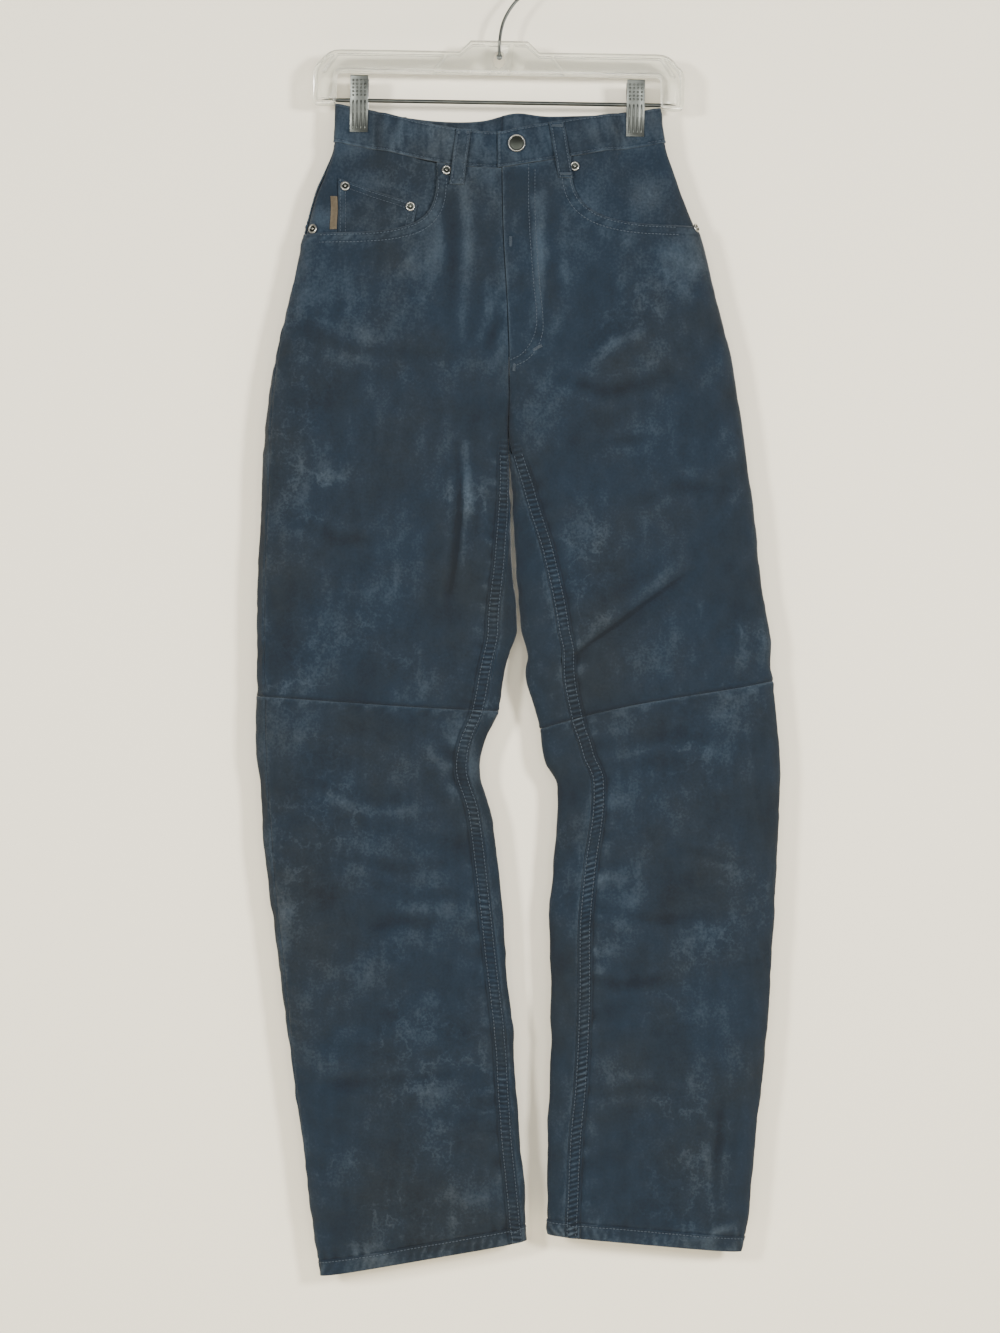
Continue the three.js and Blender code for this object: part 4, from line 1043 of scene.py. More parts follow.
def facing_shell(side):
    """A hip piece behind a pocket mouth, on the front panel's own columns."""
    rows = np.concatenate([[-0.1, 0.4], np.arange(1.2, FACING_FOOT, 2.2), [FACING_FOOT]])
    inseam = turn_at(side, rows, "inner", read(side, "inseam", rows))
    outseam = turn_at(side, rows, "outer", read(side, "outseam", rows))
    first = step_along(side, rows, inseam, SEAM_GAP / 2 + FACING_INSET)
    last = step_along(side, rows, outseam, -SEAM_GAP / 2)
    start = mix(first, last, 1.9 / 12)
    end = step_along(side, rows, last, -SEAM_GAP)
    turns = np.stack([mix(start, end, t) for t in np.linspace(0, 1, 80)], axis=1)
    down = rows[:, None] + 0 * turns
    base = surface(side, turns, down)
    normals = surface_normals(side, turns, down)
    x, low = base[..., 0], SEAM_Z - base[..., 2]
    depth = facing_depth(side, x, down)
    seed = 41 if side == "right" else 43
    height = 0.16 * ripple(x, low, 26, seed) - 0.1
    outer = base + normals * (height - depth)[..., None]
    inner = base + normals * (height * 0.5 - depth - FACING_THICK)[..., None]
    wear_and_painted_light = 0.12 * ripple(x, low, 40, seed + 1) - 0.05
    return Shell(outer, inner, grid_normals(outer, -SIGN[side]), wear_and_painted_light)


def laid_shell(side, face, columns, rows, spot, lift, thick, relief=None, radius=0.4):
    """A strip laid on the surface: spot gives X and level over the unit square, lift the
    height of its outer face."""
    u, w = np.meshgrid(columns, rows)
    x, low = spot(u, w)
    turn, down = locate(side, face, x, low)
    base = surface(side, turn, down)
    normals = surface_normals(side, turn, down)
    across, from_last, along, from_foot = edge_distances(base)
    edge = np.minimum(np.minimum(across, from_last), np.minimum(along, from_foot))
    height = relief(across, along) if relief else 0 * x
    sunk = rounding(edge, radius)
    top = lift(u, w, x, low)
    outer = base + normals * (top + height - sunk)[..., None]
    inner = base + normals * (top - thick + sunk)[..., None]
    # edges lighter, partly wear and partly a painted highlight; raised parts lighter and stitch
    # grooves darker, as painted light and shade
    wear_and_painted_light = 0.15 + 0.3 * np.exp(-edge / 2) + 0.3 * height + 0.08 * ripple(x, low, 20, 51)
    flip = -SIGN[side] if face == "front" else SIGN[side]
    return Shell(outer, inner, grid_normals(outer, flip), wear_and_painted_light)


COIN_ROWS = (2.0, 7.0)
COIN_TOP_ROWS = (2.0, 6.5)
YOKE_ROWS = (2.0, 8.0)
# The fly's bar tacks: X, level and direction
FLY_TACKS = (
    (10.0, 71.0, (0.0, 0.0, 1.0)), (13.5, 188.0, (0.1, 0.0, 1.0)), (35.0, 171.6, (0.9, 0.0, 0.5)),
)
COIN = np.array([(-153, 9), (-78, 35.5), (-84, 66), (-153, 68)], float)


def coin_spot(u, w):
    """X and level over the coin pocket: straight between its four corners."""
    top = COIN[0] + (COIN[1] - COIN[0]) * u[..., None]
    foot = COIN[3] + (COIN[2] - COIN[3]) * u[..., None]
    place = top + (foot - top) * w[..., None]
    return place[..., 0], place[..., 1]


def on_facing(x, low, thick):
    """Height of the outer face of a piece that lies on the right pocket facing."""
    return -facing_depth("right", x, low) + SEAM_GAP + COIN_NEST + thick


LOOP_WIDE = 13.8
LOOP_THICK = 2.2
LOOP_TALL = 53.0
LOOP_ROW = 2.2             # a loop's rows of thread, in from its sides
LOOPS = (
    ("front_right", "right", "front", -34.2, -41.0, -36.0),
    ("front_left", "left", "front", 53.2, 62.1, -42.5),
    ("side_right", "right", "back", -96.0, -100.0, -53.0),
    ("side_left", "left", "back", 94.0, 98.0, -53.0),
    ("back", "left", "back", 12.0, 12.0, -52.0),
)
LOOP_LIFTS = np.array([(0, 1.6), (0.12, 1.8), (0.35, 2.6), (0.74, 2.6), (0.88, 1.3), (1, 0.8)])


def loop_lift(w):
    """Height of a belt loop's back over the surface: eased between the rows of its table."""
    k = np.clip(np.searchsorted(LOOP_LIFTS[:, 0], w) - 1, 0, len(LOOP_LIFTS) - 2)
    a, b = LOOP_LIFTS[k], LOOP_LIFTS[k + 1]
    return mix(a[..., 1], b[..., 1], ease((w - a[..., 0]) / (b[..., 0] - a[..., 0])))


def loop_shell(side, face, x_top, x_foot, top):
    """A belt loop: a strip with a swelling middle and a groove on each row of thread."""
    spot = lambda u, w: (mix(x_top, x_foot, w) + (u - 0.5) * LOOP_WIDE, top + LOOP_TALL * w)
    lift = lambda u, w, x, low: loop_lift(w) + LOOP_THICK

    def relief(across, along):
        middle = 0.35 * bell(across - LOOP_WIDE / 2, 4.2)
        grooves = stitch_groove(across, LOOP_ROW) + stitch_groove(across, LOOP_WIDE - LOOP_ROW)
        ends = -0.4 * (bell(along - 4, 1.3) + bell(along - LOOP_TALL + 4, 1.3))
        return middle + grooves + ends + 0.08 * ripple(along, across, 9, int(abs(x_top)) + 71)

    columns = near_edges(1.5, 1.0, LOOP_WIDE) / LOOP_WIDE
    rows = near_edges(2.0, 1.2, LOOP_TALL) / LOOP_TALL
    return laid_shell(side, face, columns, rows, spot, lift, LOOP_THICK, relief, 0.7)


def resampled(points, normals, pitch):
    """Points and normals at an even pitch along a line."""
    arc = np.concatenate([[0], np.cumsum(np.linalg.norm(np.diff(points, axis=0), axis=1))])
    count = max(2, int(arc[-1] / pitch))
    at = (np.arange(count) + 0.5) * arc[-1] / count
    place = np.stack([np.interp(at, arc, points[:, k]) for k in range(3)], axis=1)
    up = np.stack([np.interp(at, arc, normals[:, k]) for k in range(3)], axis=1)
    ahead = np.stack([np.interp(at + 0.3, arc, points[:, k]) for k in range(3)], axis=1)
    behind = np.stack([np.interp(at - 0.3, arc, points[:, k]) for k in range(3)], axis=1)
    along = ahead - behind
    along /= np.linalg.norm(along, axis=1, keepdims=True)
    up /= np.linalg.norm(up, axis=1, keepdims=True)
    return place, up, along


def merged(parts):
    """The points and faces of several pieces as one."""
    starts = np.cumsum([0] + [len(points) for points, _ in parts[:-1]])
    faces = [faces + start for (_, faces), start in zip(parts, starts)]
    return np.concatenate([points for points, _ in parts]), np.concatenate(faces)


def ring_faces(rings, sides):
    """Four-sided faces between neighbouring closed rings of points."""
    at = np.arange(rings * sides).reshape(rings, sides)
    right = np.roll(at, -1, axis=1)
    return np.stack([at[:-1], at[1:], right[1:], right[:-1]], -1).reshape(-1, 4)


def stitch_shape(length, wide, high):
    """A stitch: a short capsule lying along X, pointed into the leather at both ends."""
    rings = np.array([(-0.5, 0.2, -0.6), (-0.25, 1, 0.4), (0.25, 1, 0.4), (0.5, 0.2, -0.6)])
    t, r, z = rings.T[:, :, None]
    angle = np.arange(6) / 6 * 2 * np.pi
    y, z = np.cos(angle) * r * wide / 2, np.sin(angle) * r * high / 2 + z * high / 2
    points = np.stack([t * length + 0 * y, y, z], -1).reshape(-1, 3)
    caps = np.array([(5, 4, 3, 2), (5, 2, 1, 0), (18, 19, 20, 21), (18, 21, 22, 23)])
    return points, np.concatenate([ring_faces(4, 6), caps])


class Thread:
    """Collects stitches along lines, to make one piece of them."""

    def __init__(self, pitch):
        self.parts, self.pitch = [], pitch

    def sew(self, points, normals, pitch=None, length=2.6, wide=0.75, high=0.55):
        """A row of stitches at an even pitch along a line."""
        place, up, along = resampled(points, normals, pitch or self.pitch)
        shape, faces = stitch_shape(length, wide, high)
        side = np.cross(up, along)
        made = (place[:, None] + shape[None, :, :1] * along[:, None]
                + shape[None, :, 1:2] * side[:, None]
                + (shape[None, :, 2:] + 0.1) * up[:, None])
        starts = np.arange(len(place)) * len(shape)
        every = (faces[None] + starts[:, None, None]).reshape(-1, 4)
        self.parts.append((made.reshape(-1, 3), every))

    def tack(self, centre, up, along, length, wide):
        """A bar tack: close stitches across a short bar, just clear of the leather."""
        centre = centre + up * 0.2
        side = np.cross(up, along)
        side /= np.linalg.norm(side)
        count = max(6, int(length / 0.7))
        for step in np.linspace(-0.5, 0.5, count) * length:
            middle = centre + along * step
            ends = np.stack([middle - side * wide / 2, middle + side * wide / 2])
            self.sew(ends, np.stack([up, up]), wide, wide, 0.7, 0.7)


def lathe(profile, sides):
    """Points and faces of a profile of radius and height turned about its axis, closed at
    both poles by small fans of four-sided faces."""
    profile = np.array(profile, float)
    angle = np.arange(sides) / sides * 2 * np.pi
    ring = np.stack([np.cos(angle), np.sin(angle)], -1)
    flat = profile[:, None, :1] * ring[None]
    high = np.broadcast_to(profile[:, None, 1:], (len(profile), sides, 1))
    points = np.concatenate([flat, high], -1).reshape(-1, 3)
    return points, ring_faces(len(profile), sides)[:, [0, 3, 2, 1]]


def smooth_profile(points, count):
    """A turned profile rounded off: smooth cubic pieces through its corners."""
    points = np.array(points, float)
    x, y = smooth_line(points[:, 0], points[:, 1], count)
    return np.stack([np.maximum(x, 0.02), y], -1)


def stood_on(points, centre, up):
    """Turned points moved to a place with their axis along a normal."""
    up = up / np.linalg.norm(up)
    side = np.cross(up, (0.0, 0.0, 1.0))
    side /= np.linalg.norm(side)
    ahead = np.cross(up, side)
    return centre + points[:, :1] * side + points[:, 1:2] * ahead + points[:, 2:] * up


def tube(path, radius, sides=20):
    """A round rod along a path, with rounded ends: rings across the path's directions, held
    level by the Y axis, that shrink at both ends as a half circle does."""
    path = np.array(path, float)
    along = np.gradient(path, axis=0)
    along /= np.linalg.norm(along, axis=1, keepdims=True)
    level = np.array([0.0, 1.0, 0.0])
    other = np.cross(along, level)
    other /= np.linalg.norm(other, axis=1, keepdims=True)
    shrink = np.ones(len(path))
    cap = np.linspace(0.05, 1, 5)
    shrink[:5], shrink[-5:] = np.sqrt(1 - (1 - cap) ** 2), np.sqrt(1 - (1 - cap[::-1]) ** 2)
    angle = np.arange(sides) / sides * 2 * np.pi
    ring = np.cos(angle)[:, None] * level + np.sin(angle)[:, None] * other[:, None]
    points = (path[:, None] + ring * (radius * shrink)[:, None, None]).reshape(-1, 3)
    return points, ring_faces(len(path), sides)


def cleaned(mesh, dist, close=False, flatten=False):
    """A mesh with its doubled points merged and its normals turned outwards; its holes are
    closed or its flat faces joined on request."""
    body = bmesh.new()
    body.from_mesh(mesh)
    bmesh.ops.remove_doubles(body, verts=body.verts, dist=dist)
    if close:
        bmesh.ops.holes_fill(body, edges=body.edges)
    if flatten:
        bmesh.ops.dissolve_limit(body, angle_limit=0.01, verts=body.verts, edges=body.edges)
    bmesh.ops.recalc_face_normals(body, faces=body.faces)
    body.to_mesh(mesh)
    body.free()


def closed_object(name, parts, material, node=None):
    """An object from several turned or swept parts, with its poles closed, in place of a CAD
    node if one is named."""
    points, faces = merged(parts)
    mesh = bpy.data.meshes.new(name)
    mesh.from_pydata((points * MM).tolist(), [], faces.tolist())
    cleaned(mesh, 1e-5, close=True)
    obj = placed(name, mesh, material)
    if node:
        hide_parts(node)


def softened_copy(name, node, material, bevel):
    """A merged copy of a CAD node with its sharp edges rounded."""
    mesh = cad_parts[node].data.copy()
    mesh.name = name
    mesh.materials.clear()
    cleaned(mesh, 2e-6, flatten=True)
    obj = placed(name, mesh, material)
    edge = obj.modifiers.new("rounded", "BEVEL")
    edge.width = bevel * MM
    edge.segments = 2
    edge.limit_method = "ANGLE"
    edge.angle_limit = 0.6
    edge.harden_normals = True
    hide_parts(node)


# The hanger, about its eye
EYE = np.array([-0.8, 0.0, -96.9])
HANG_TILT = np.radians(0.93)
BAR_RADIUS = 1.9
BAR_DROP = 40.6
BAR_HALF = 168.2
HOOK_WIRE = 1.5
HOOK_RADIUS = 24.0
HOOK_SPAN = (-48.0, 205.0)
SHANK = [(0.9, -70.0), (3.2, -61.0), (9.0, -49.5)]     # the wire's way up to its bow
CLIP_FACE = ([0, 4, 18, 24, 36, 51.5], [4.65, 4.65, 4.65, 6.05, 6.25, 8.85])
CLIP_FOOT = -BAR_DROP - 30
GRIP_PITCH = (3.8, 3.4)
GRIP_DOT = [(0.02, -0.5), (1.15, -0.4), (1.0, 0.35), (0.5, 0.6), (0.02, 0.66)]
HOOK_HEAD = [(0.02, -1), (2.5, -1), (2.8, -0.7), (2.8, 0.7), (2.5, 1), (0.02, 1)]


def from_hanger(points):
    """Points about the hanger's eye, turned by its slight tilt to where it hangs."""
    points = np.asarray(points, float)
    x = points[:, 0] * np.cos(HANG_TILT) + points[:, 2] * np.sin(HANG_TILT)
    z = -points[:, 0] * np.sin(HANG_TILT) + points[:, 2] * np.cos(HANG_TILT)
    return np.stack([x, points[:, 1], z], -1) + EYE


# Shader helpers

def shader_material(name, **inputs):
    """A material with one main shader and its constant inputs set."""
    material = bpy.data.materials.new(name)
    material.use_nodes = True
    main = material.node_tree.nodes["Principled BSDF"]
    for key, value in inputs.items():
        main.inputs[key.replace("_", " ")].default_value = value
    return material, material.node_tree, main


def linear(colour):
    """A colour on a 0 to 255 screen scale as linear light."""
    c = np.array(colour, float) / 255
    c = np.where(c <= 0.04045, c / 12.92, ((c + 0.055) / 1.055) ** 2.4)
    return (*c.tolist(), 1.0)


def noise(tree, scale, detail, roughness=0.55, stretch=None):
    """Cloudy noise over the object, drawn out where stretch is below 1."""
    place = tree.nodes.new("ShaderNodeTexCoord").outputs["Object"]
    if stretch:
        scaled = tree.nodes.new("ShaderNodeVectorMath")
        scaled.operation = "MULTIPLY"
        scaled.inputs[1].default_value = stretch
        tree.links.new(place, scaled.inputs[0])
        place = scaled.outputs[0]
    texture = tree.nodes.new("ShaderNodeTexNoise")
    texture.inputs["Scale"].default_value = scale
    texture.inputs["Detail"].default_value = detail
    texture.inputs["Roughness"].default_value = roughness
    tree.links.new(place, texture.inputs["Vector"])
    return texture.outputs["Fac"]


def sum_of(tree, terms, start):
    """start plus each signal times its weight."""
    total = None
    for signal, weight in terms:
        add = tree.nodes.new("ShaderNodeMath")
        add.operation = "MULTIPLY_ADD"
        tree.links.new(signal, add.inputs[0])
        add.inputs[1].default_value = weight
        if total is None:
            add.inputs[2].default_value = start
        else:
            tree.links.new(total, add.inputs[2])
        total = add.outputs[0]
    return total


def ramp(tree, signal, stops):
    """Colours read off a ramp of (place, colour) stops."""
    node = tree.nodes.new("ShaderNodeValToRGB")
    elements = node.color_ramp.elements
    while len(elements) < len(stops):
        elements.new(0.5)
    for element, (place, colour) in zip(elements, stops):
        element.position = place
        element.color = colour
    tree.links.new(signal, node.inputs["Fac"])
    return node.outputs["Color"]


def combined(tree, operation, first, second):
    """Two signals joined by an operation of the maths node."""
    node = tree.nodes.new("ShaderNodeMath")
    node.operation = operation
    tree.links.new(first, node.inputs[0])
    tree.links.new(second, node.inputs[1])
    return node.outputs[0]


def bumped(tree, main, signal, strength, depth):
    """A signal as fine bumps on a material."""
    bump = tree.nodes.new("ShaderNodeBump")
    bump.inputs["Strength"].default_value = strength
    bump.inputs["Distance"].default_value = depth
    tree.links.new(signal, bump.inputs["Height"])
    tree.links.new(bump.outputs["Normal"], main.inputs["Normal"])


def blended(tree, amount, first, second):
    """Two colours mixed by a signal."""
    node = tree.nodes.new("ShaderNodeMix")
    node.data_type = "RGBA"
    tree.links.new(amount, node.inputs[0])
    tree.links.new(first, node.inputs[6])
    tree.links.new(second, node.inputs[7])
    return node.outputs[2]


BLACK, WHITE = (0, 0, 0, 1), (1, 1, 1, 1)
SCUFF_STRETCH = (1.0, 0.6, 0.3)


def nubuck(name, dark, middle, light, grey=0.36, shift=0.0):
    """Napped leather: quiet mottling in three sizes, scuffs along the leg and thin light
    wisps in places, some clouds greyer than others, and a fine grain. The attribute of wear
    and painted light makes it lighter on worn edges and painted highlights and darker where
    shade is painted in creases and grooves."""
    material, tree, main = shader_material(
        name, Roughness=0.88, Sheen_Weight=0.06, Sheen_Roughness=0.55, Specular_IOR_Level=0.22)
    wear_and_painted_light = tree.nodes.new("ShaderNodeAttribute")
    wear_and_painted_light.attribute_name = "wear_and_painted_light"
    cloud = noise(tree, 11, 5, 0.6)
    streak = noise(tree, 60, 6, 0.7, SCUFF_STRETCH)
    fleck = noise(tree, 420, 3, 0.6)
    lines = ramp(tree, noise(tree, 34, 5, 0.62), ((0.465, BLACK), (0.5, WHITE), (0.535, BLACK)))
    places = ramp(tree, noise(tree, 8, 3), ((0.48, BLACK), (0.62, WHITE)))
    wisps = combined(tree, "MULTIPLY", lines, places)
    # the attribute of wear and painted light: lighter on worn edges and painted highlights, darker
    # where shade is painted
    tone = sum_of(tree, ((cloud, 0.42), (streak, 0.32), (fleck, 0.52), (wisps, 0.16),
                         (wear_and_painted_light.outputs["Fac"], 0.66)), -0.25 + shift)
    stops = (0.05, dark), (0.45, middle), (0.95, light)
    blue = ramp(tree, tone, [(place, linear(colour)) for place, colour in stops])
    dull = []
    for place, colour in stops:
        mean = sum(colour) / 3
        dull.append((place, linear([mix(c, mean, grey) for c in colour])))
    greyed = ramp(tree, tone, dull)
    patches = ramp(tree, noise(tree, 7, 4, 0.7), ((0.40, BLACK), (0.66, WHITE)))
    tree.links.new(blended(tree, patches, blue, greyed), main.inputs["Base Color"])
    fine, coarse = noise(tree, 1500, 2, 0.7), noise(tree, 320, 4, 0.6)
    grain = sum_of(tree, ((fine, 0.6), (coarse, 0.8)), 0)
    bumped(tree, main, grain, 0.30, 0.0005)
    return material


def metal(name, colour, roughness, spots=0.03):
    """Metal with slight cloudy wear in its colour and shine."""
    material, tree, main = shader_material(name, Metallic=1.0)
    shine = sum_of(tree, ((noise(tree, 260, 4), spots * 2),), roughness - spots)
    stops = (0.3, linear([c * 0.88 for c in colour])), (0.65, linear(colour))
    tree.links.new(shine, main.inputs["Roughness"])
    tree.links.new(ramp(tree, noise(tree, 60, 2), stops), main.inputs["Base Color"])
    return material


def lit_area(name, place, target, size, power, colour):
    """A square light turned towards a point."""
    light = bpy.data.lights.new(name, "AREA")
    light.shape = "RECTANGLE"
    light.size = light.size_y = size
    light.energy = power
    light.color = colour
    obj = bpy.data.objects.new(name, light)
    bpy.context.scene.collection.objects.link(obj)
    direction = Vector(target) - Vector(place)
    turn = direction.to_track_quat("-Z", "Y").to_matrix().to_4x4()
    obj.matrix_world = Matrix.Translation(place) @ turn


def colour_setting(name, description, default):
    """A colour on a 0 to 255 screen scale, for a settings group."""
    return bpy.props.FloatVectorProperty(
        name=name, description=description + ", 0 to 255", default=default, min=0, max=255, size=3)


class LeatherSettings(bpy.types.PropertyGroup):
    """Colours and relief of the leather"""

    # the deep colour also gives painted shade in creases and grooves, the worn colour also painted
    # highlights on ridges and edges
    dark: colour_setting("Deep colour", "Leather in creases and dark clouds", (6, 17, 28))
    middle: colour_setting("Leather colour", "Most of the leather", (15, 29, 42))
    light: colour_setting("Worn and highlight colour", "Leather on worn edges", (50, 63, 75))
    relief: bpy.props.FloatProperty(
        name="Relief", description="Strength of creases and swells", default=1.0, min=0, max=2)


class ThreadSettings(bpy.types.PropertyGroup):
    """The sewing thread"""

    colour: colour_setting("Thread colour", "Colour of the topstitching", (41, 53, 65))
    pitch: bpy.props.FloatProperty(
        name="Stitch length", description="Length of one stitch with its gap",
        default=0.0033, min=0.002, max=0.006, unit="LENGTH")


class FittingSettings(bpy.types.PropertyGroup):
    """Metal of the button, rivets and hanger"""

    nickel: colour_setting("Nickel", "Colour of button and rivets", (168, 168, 164))
    bronze: colour_setting("Button middle", "Colour of the button's sunk middle", (52, 55, 51))
    # the steel colour is far darker than bare steel: a painted dark reflection, standing in for a
    # dark room
    steel: colour_setting("Steel", "Colour of bar, clips and hook", (78, 81, 78))


class StageSettings(bpy.types.PropertyGroup):
    """Camera, backdrop and lights"""

    distance: bpy.props.FloatProperty(
        name="Camera distance", description="From the camera to the trousers",
        default=2.4, min=0.5, unit="LENGTH")
    wall_gap: bpy.props.FloatProperty(
        name="Wall gap", description="From the hanger's middle back to the wall",
        default=0.034, min=0.03, unit="LENGTH")
    backdrop: colour_setting("Backdrop", "Colour of wall and floor", (238, 231, 213))


def leather_material(name="blue_nubuck", shift=0.0):
    """The leather, made once for each name."""
    if name in bpy.data.materials:
        return bpy.data.materials[name]
    kept = bpy.context.scene.trousers_leather
    return nubuck(name, kept.dark, kept.middle, kept.light, shift=shift)


def yoke_slope(u):
    """The yoke seam's level below its outseam end."""
    return yoke_seam(u) - YOKE_SIDE


class TROUSERS_OT_panels(bpy.types.Operator):
    """Fronts, backs and yokes of both legs"""
    bl_idname = "trousers.panels"
    bl_label = "Leg panels"

    def execute(self, context):
        strength = context.scene.trousers_leather.relief
        for side in ("right", "left"):
            knee, hem = KNEE[side], HEM_LEVEL[side]
            for kind, *cut in (
                    ("front_thigh", "front", 0.0, knee, None, None, False),
                    ("front_calf", "front", knee, hem, None, None, True),
                    ("back_yoke", "back", 0.0, YOKE_SIDE, None, yoke_slope, False),
                    ("back_thigh", "back", YOKE_SIDE, knee, yoke_slope, None, False),
                    ("back_calf", "back", knee, hem, None, None, True)):
                face, top, foot, *rest = cut
                shell = panel_shell(side, face, top, foot, strength, *rest)
                leather_piece(f"{kind}_{side}", shell, leather_material())
        return {"FINISHED"}


class TROUSERS_OT_waistband(bpy.types.Operator):
    """Both halves of the waistband"""
    bl_idname = "trousers.waistband"
    bl_label = "Waistband"

    def execute(self, context):
        for side in ("right", "left"):
            leather_piece(f"waistband_{side}", waistband_shell(side), leather_material())
        return {"FINISHED"}


def coin_shell():
    """The coin pocket: a groove on each row of thread, two along each side and at the top."""
    def relief(across, along):
        wide = across[:, -1:]
        rows = sum(stitch_groove(edge, row) for edge in (across, wide - across)
                   for row in COIN_ROWS)
        rows += sum(stitch_groove(along, row) for row in COIN_TOP_ROWS)
        return rows + 0.2 * ripple(across, along, 18, 61) - 0.1

    lift = lambda u, w, x, low: on_facing(x, low, COIN_THICK)
    columns, rows = np.linspace(0, 1, 64), np.linspace(0, 1, 44)
    return laid_shell("right", "front", columns, rows, coin_spot, lift, COIN_THICK, relief)


LABEL_X = (-161, -154.2)
LABEL_LOW = (25.6, 58)
LABEL_THICK = 0.8
LABEL_COLOURS = ((44, 39, 31), (72, 64, 51), (100, 90, 74))


def label_shell():
    """The side label: a small bare strip, bent a little along its length."""
    spot = lambda u, w: (mix(*LABEL_X, u) + 0.5 * np.sin(w * 5), mix(*LABEL_LOW, w))
    lift = lambda u, w, x, low: 1.1 - facing_depth("right", x, low) + 0.2 * np.sin(w * 7)
    columns, rows = np.linspace(0, 1, 12), np.linspace(0, 1, 40)
    return laid_shell("right", "front", columns, rows, spot, lift, LABEL_THICK, None, 0.3)


class TROUSERS_OT_pockets(bpy.types.Operator):
    """Pocket facings, coin pocket and the bare side label"""
    bl_idname = "trousers.pockets"
    bl_label = "Pockets"

    def execute(self, context):
        inside = leather_material("facing_nubuck", 0.15)
        for side in ("right", "left"):
            leather_piece(f"pocket_facing_{side}", facing_shell(side), inside,
                          "facing_leather")
        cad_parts["fly_facing"].data.materials.clear()
        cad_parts["fly_facing"].data.materials.append(inside)
        leather_piece("coin_pocket", coin_shell(), leather_material())
        brown = nubuck("label_leather", *LABEL_COLOURS, 0.1)
        leather_piece("side_label", label_shell(), brown, "label_leather")
        return {"FINISHED"}


class TROUSERS_OT_loops(bpy.types.Operator):
    """The five belt loops"""
    bl_idname = "trousers.loops"
    bl_label = "Belt loops"

    def execute(self, context):
        for name, side, *cut in LOOPS:
            leather_piece(f"belt_loop_{name}", loop_shell(side, *cut), leather_material())
        return {"FINISHED"}


def sew_pockets(thread):
    """Mouth edges, coin pocket and fly."""
    for side in ("right", "left"):
        for grow in MOUTH_ROWS:
            line = mouth_line(side, grow, 120, 0.03, 1.0)
            thread.sew(*SHELLS[f"front_thigh_{side}"].spots(*line))
    coin = SHELLS["coin_pocket"]
    for distance in COIN_ROWS:
        thread.sew(*coin.row_line(distance))
        thread.sew(*coin.row_line(distance, True))
    for distance in COIN_TOP_ROWS:
        thread.sew(*coin.column_line(distance))
    left = SHELLS["front_thigh_left"]
    for inset in (0.0, 6.0):
        thread.sew(*left.spots(*fly_line(inset)))
    for x, low, along in FLY_TACKS:
        place, up = left.spots([x], [low])
        thread.tack(place[0], up[0], np.array(along) / np.linalg.norm(along), 9, 2.2)


def sew_seams(thread):
    """Felled inseams, hems, yokes and centre back."""
    for side in ("right", "left"):
        for kind in ("front_thigh", "front_calf"):
            for distance in FELL_ROWS:
                points, normals = SHELLS[f"{kind}_{side}"].row_line(distance)
                below = SEAM_Z - points[:, 2] > CROTCH + 25
                thread.sew(points[below], normals[below])
        for face in ("front", "back"):
            thread.sew(*SHELLS[f"{face}_calf_{side}"].column_line(HEM_ROW, True))
        for distance in YOKE_ROWS:
            thread.sew(*SHELLS[f"back_thigh_{side}"].column_line(distance))
            if side == "right":
                continue
            for kind in ("back_yoke", "back_thigh"):
                points, normals = SHELLS[f"{kind}_{side}"].row_line(distance, True)
                above = SEAM_Z - points[:, 2] < CROTCH - 30
                thread.sew(points[above], normals[above])


def sew_waist(thread):
    """Long edges and ends of the waistband, and the belt loops."""
    for side in ("right", "left"):
        band = SHELLS[f"waistband_{side}"]
        for from_foot in (False, True):
            points, normals = band.column_line(BAND_ROW, from_foot)
            clear = np.abs(points[:, 0] - CLIP_X[side]) > 10
            starts = np.flatnonzero(np.diff(np.concatenate([[0], clear.astype(int), [0]])))
            for first, last in zip(starts[::2], starts[1::2]):
                if last - first > 4:
                    thread.sew(points[first:last], normals[first:last])
        thread.sew(*band.row_line(BAND_ROW, True))
    for name, *_ in LOOPS:
        loop = SHELLS[f"belt_loop_{name}"]
        for from_last in (False, True):
            thread.sew(*loop.row_line(LOOP_ROW, from_last), 3.0, 2.4)
        for from_last in (False, True):
            points, normals = loop.column_line(4.0, from_last)
            middle = len(points) // 2
            along = points[-1] - points[0]
            thread.tack(points[middle], normals[middle], along / np.linalg.norm(along), 10, 2)


class TROUSERS_OT_stitching(bpy.types.Operator):
    """All topstitching and bar tacks"""
    bl_idname = "trousers.stitching"
    bl_label = "Topstitching"

    def execute(self, context):
        kept = context.scene.trousers_thread
        material, *_ = shader_material(
            "thread", Roughness=0.6, Base_Color=linear(kept.colour))
        for name, sew in (("pockets", sew_pockets), ("seams", sew_seams), ("waist", sew_waist)):
            thread = Thread(kept.pitch / MM)
            sew(thread)
            make_object(f"topstitching_{name}", *merged(thread.parts), material, "leather")
        return {"FINISHED"}


BUTTON_RIM = [(8.0, 1.2), (8.3, 2.0), (8.1, 2.8), (7.7, 3.2), (7.3, 3.2), (6.9, 2.7)]
BUTTON_MIDDLE = [(7.1, 2.5), (6.5, 2.45), (5.0, 2.65), (2.6, 2.95), (1.0, 3.05), (0.02, 3.08)]
BUTTON_BACK = [(0.02, 0.0), (3.0, 0.05), (3.0, 1.1), (5.0, 1.25), (7.7, 1.3), (8.2, 1.7)]
RIVET_RING = [(0.02, 0.0), (4.4, 0.0), (4.5, 0.3), (4.3, 0.8), (3.7, 1.15), (3.0, 1.0),
              (2.8, 0.5), (0.02, 0.45)]
RIVET_WELL = [(0.02, 0.3), (2.75, 0.3), (2.8, 0.62), (1.4, 0.58), (0.02, 0.58)]
RIVET_DOT = [(0.02, 0.4), (1.0, 0.4), (1.05, 0.8), (0.7, 1.15), (0.02, 1.25)]
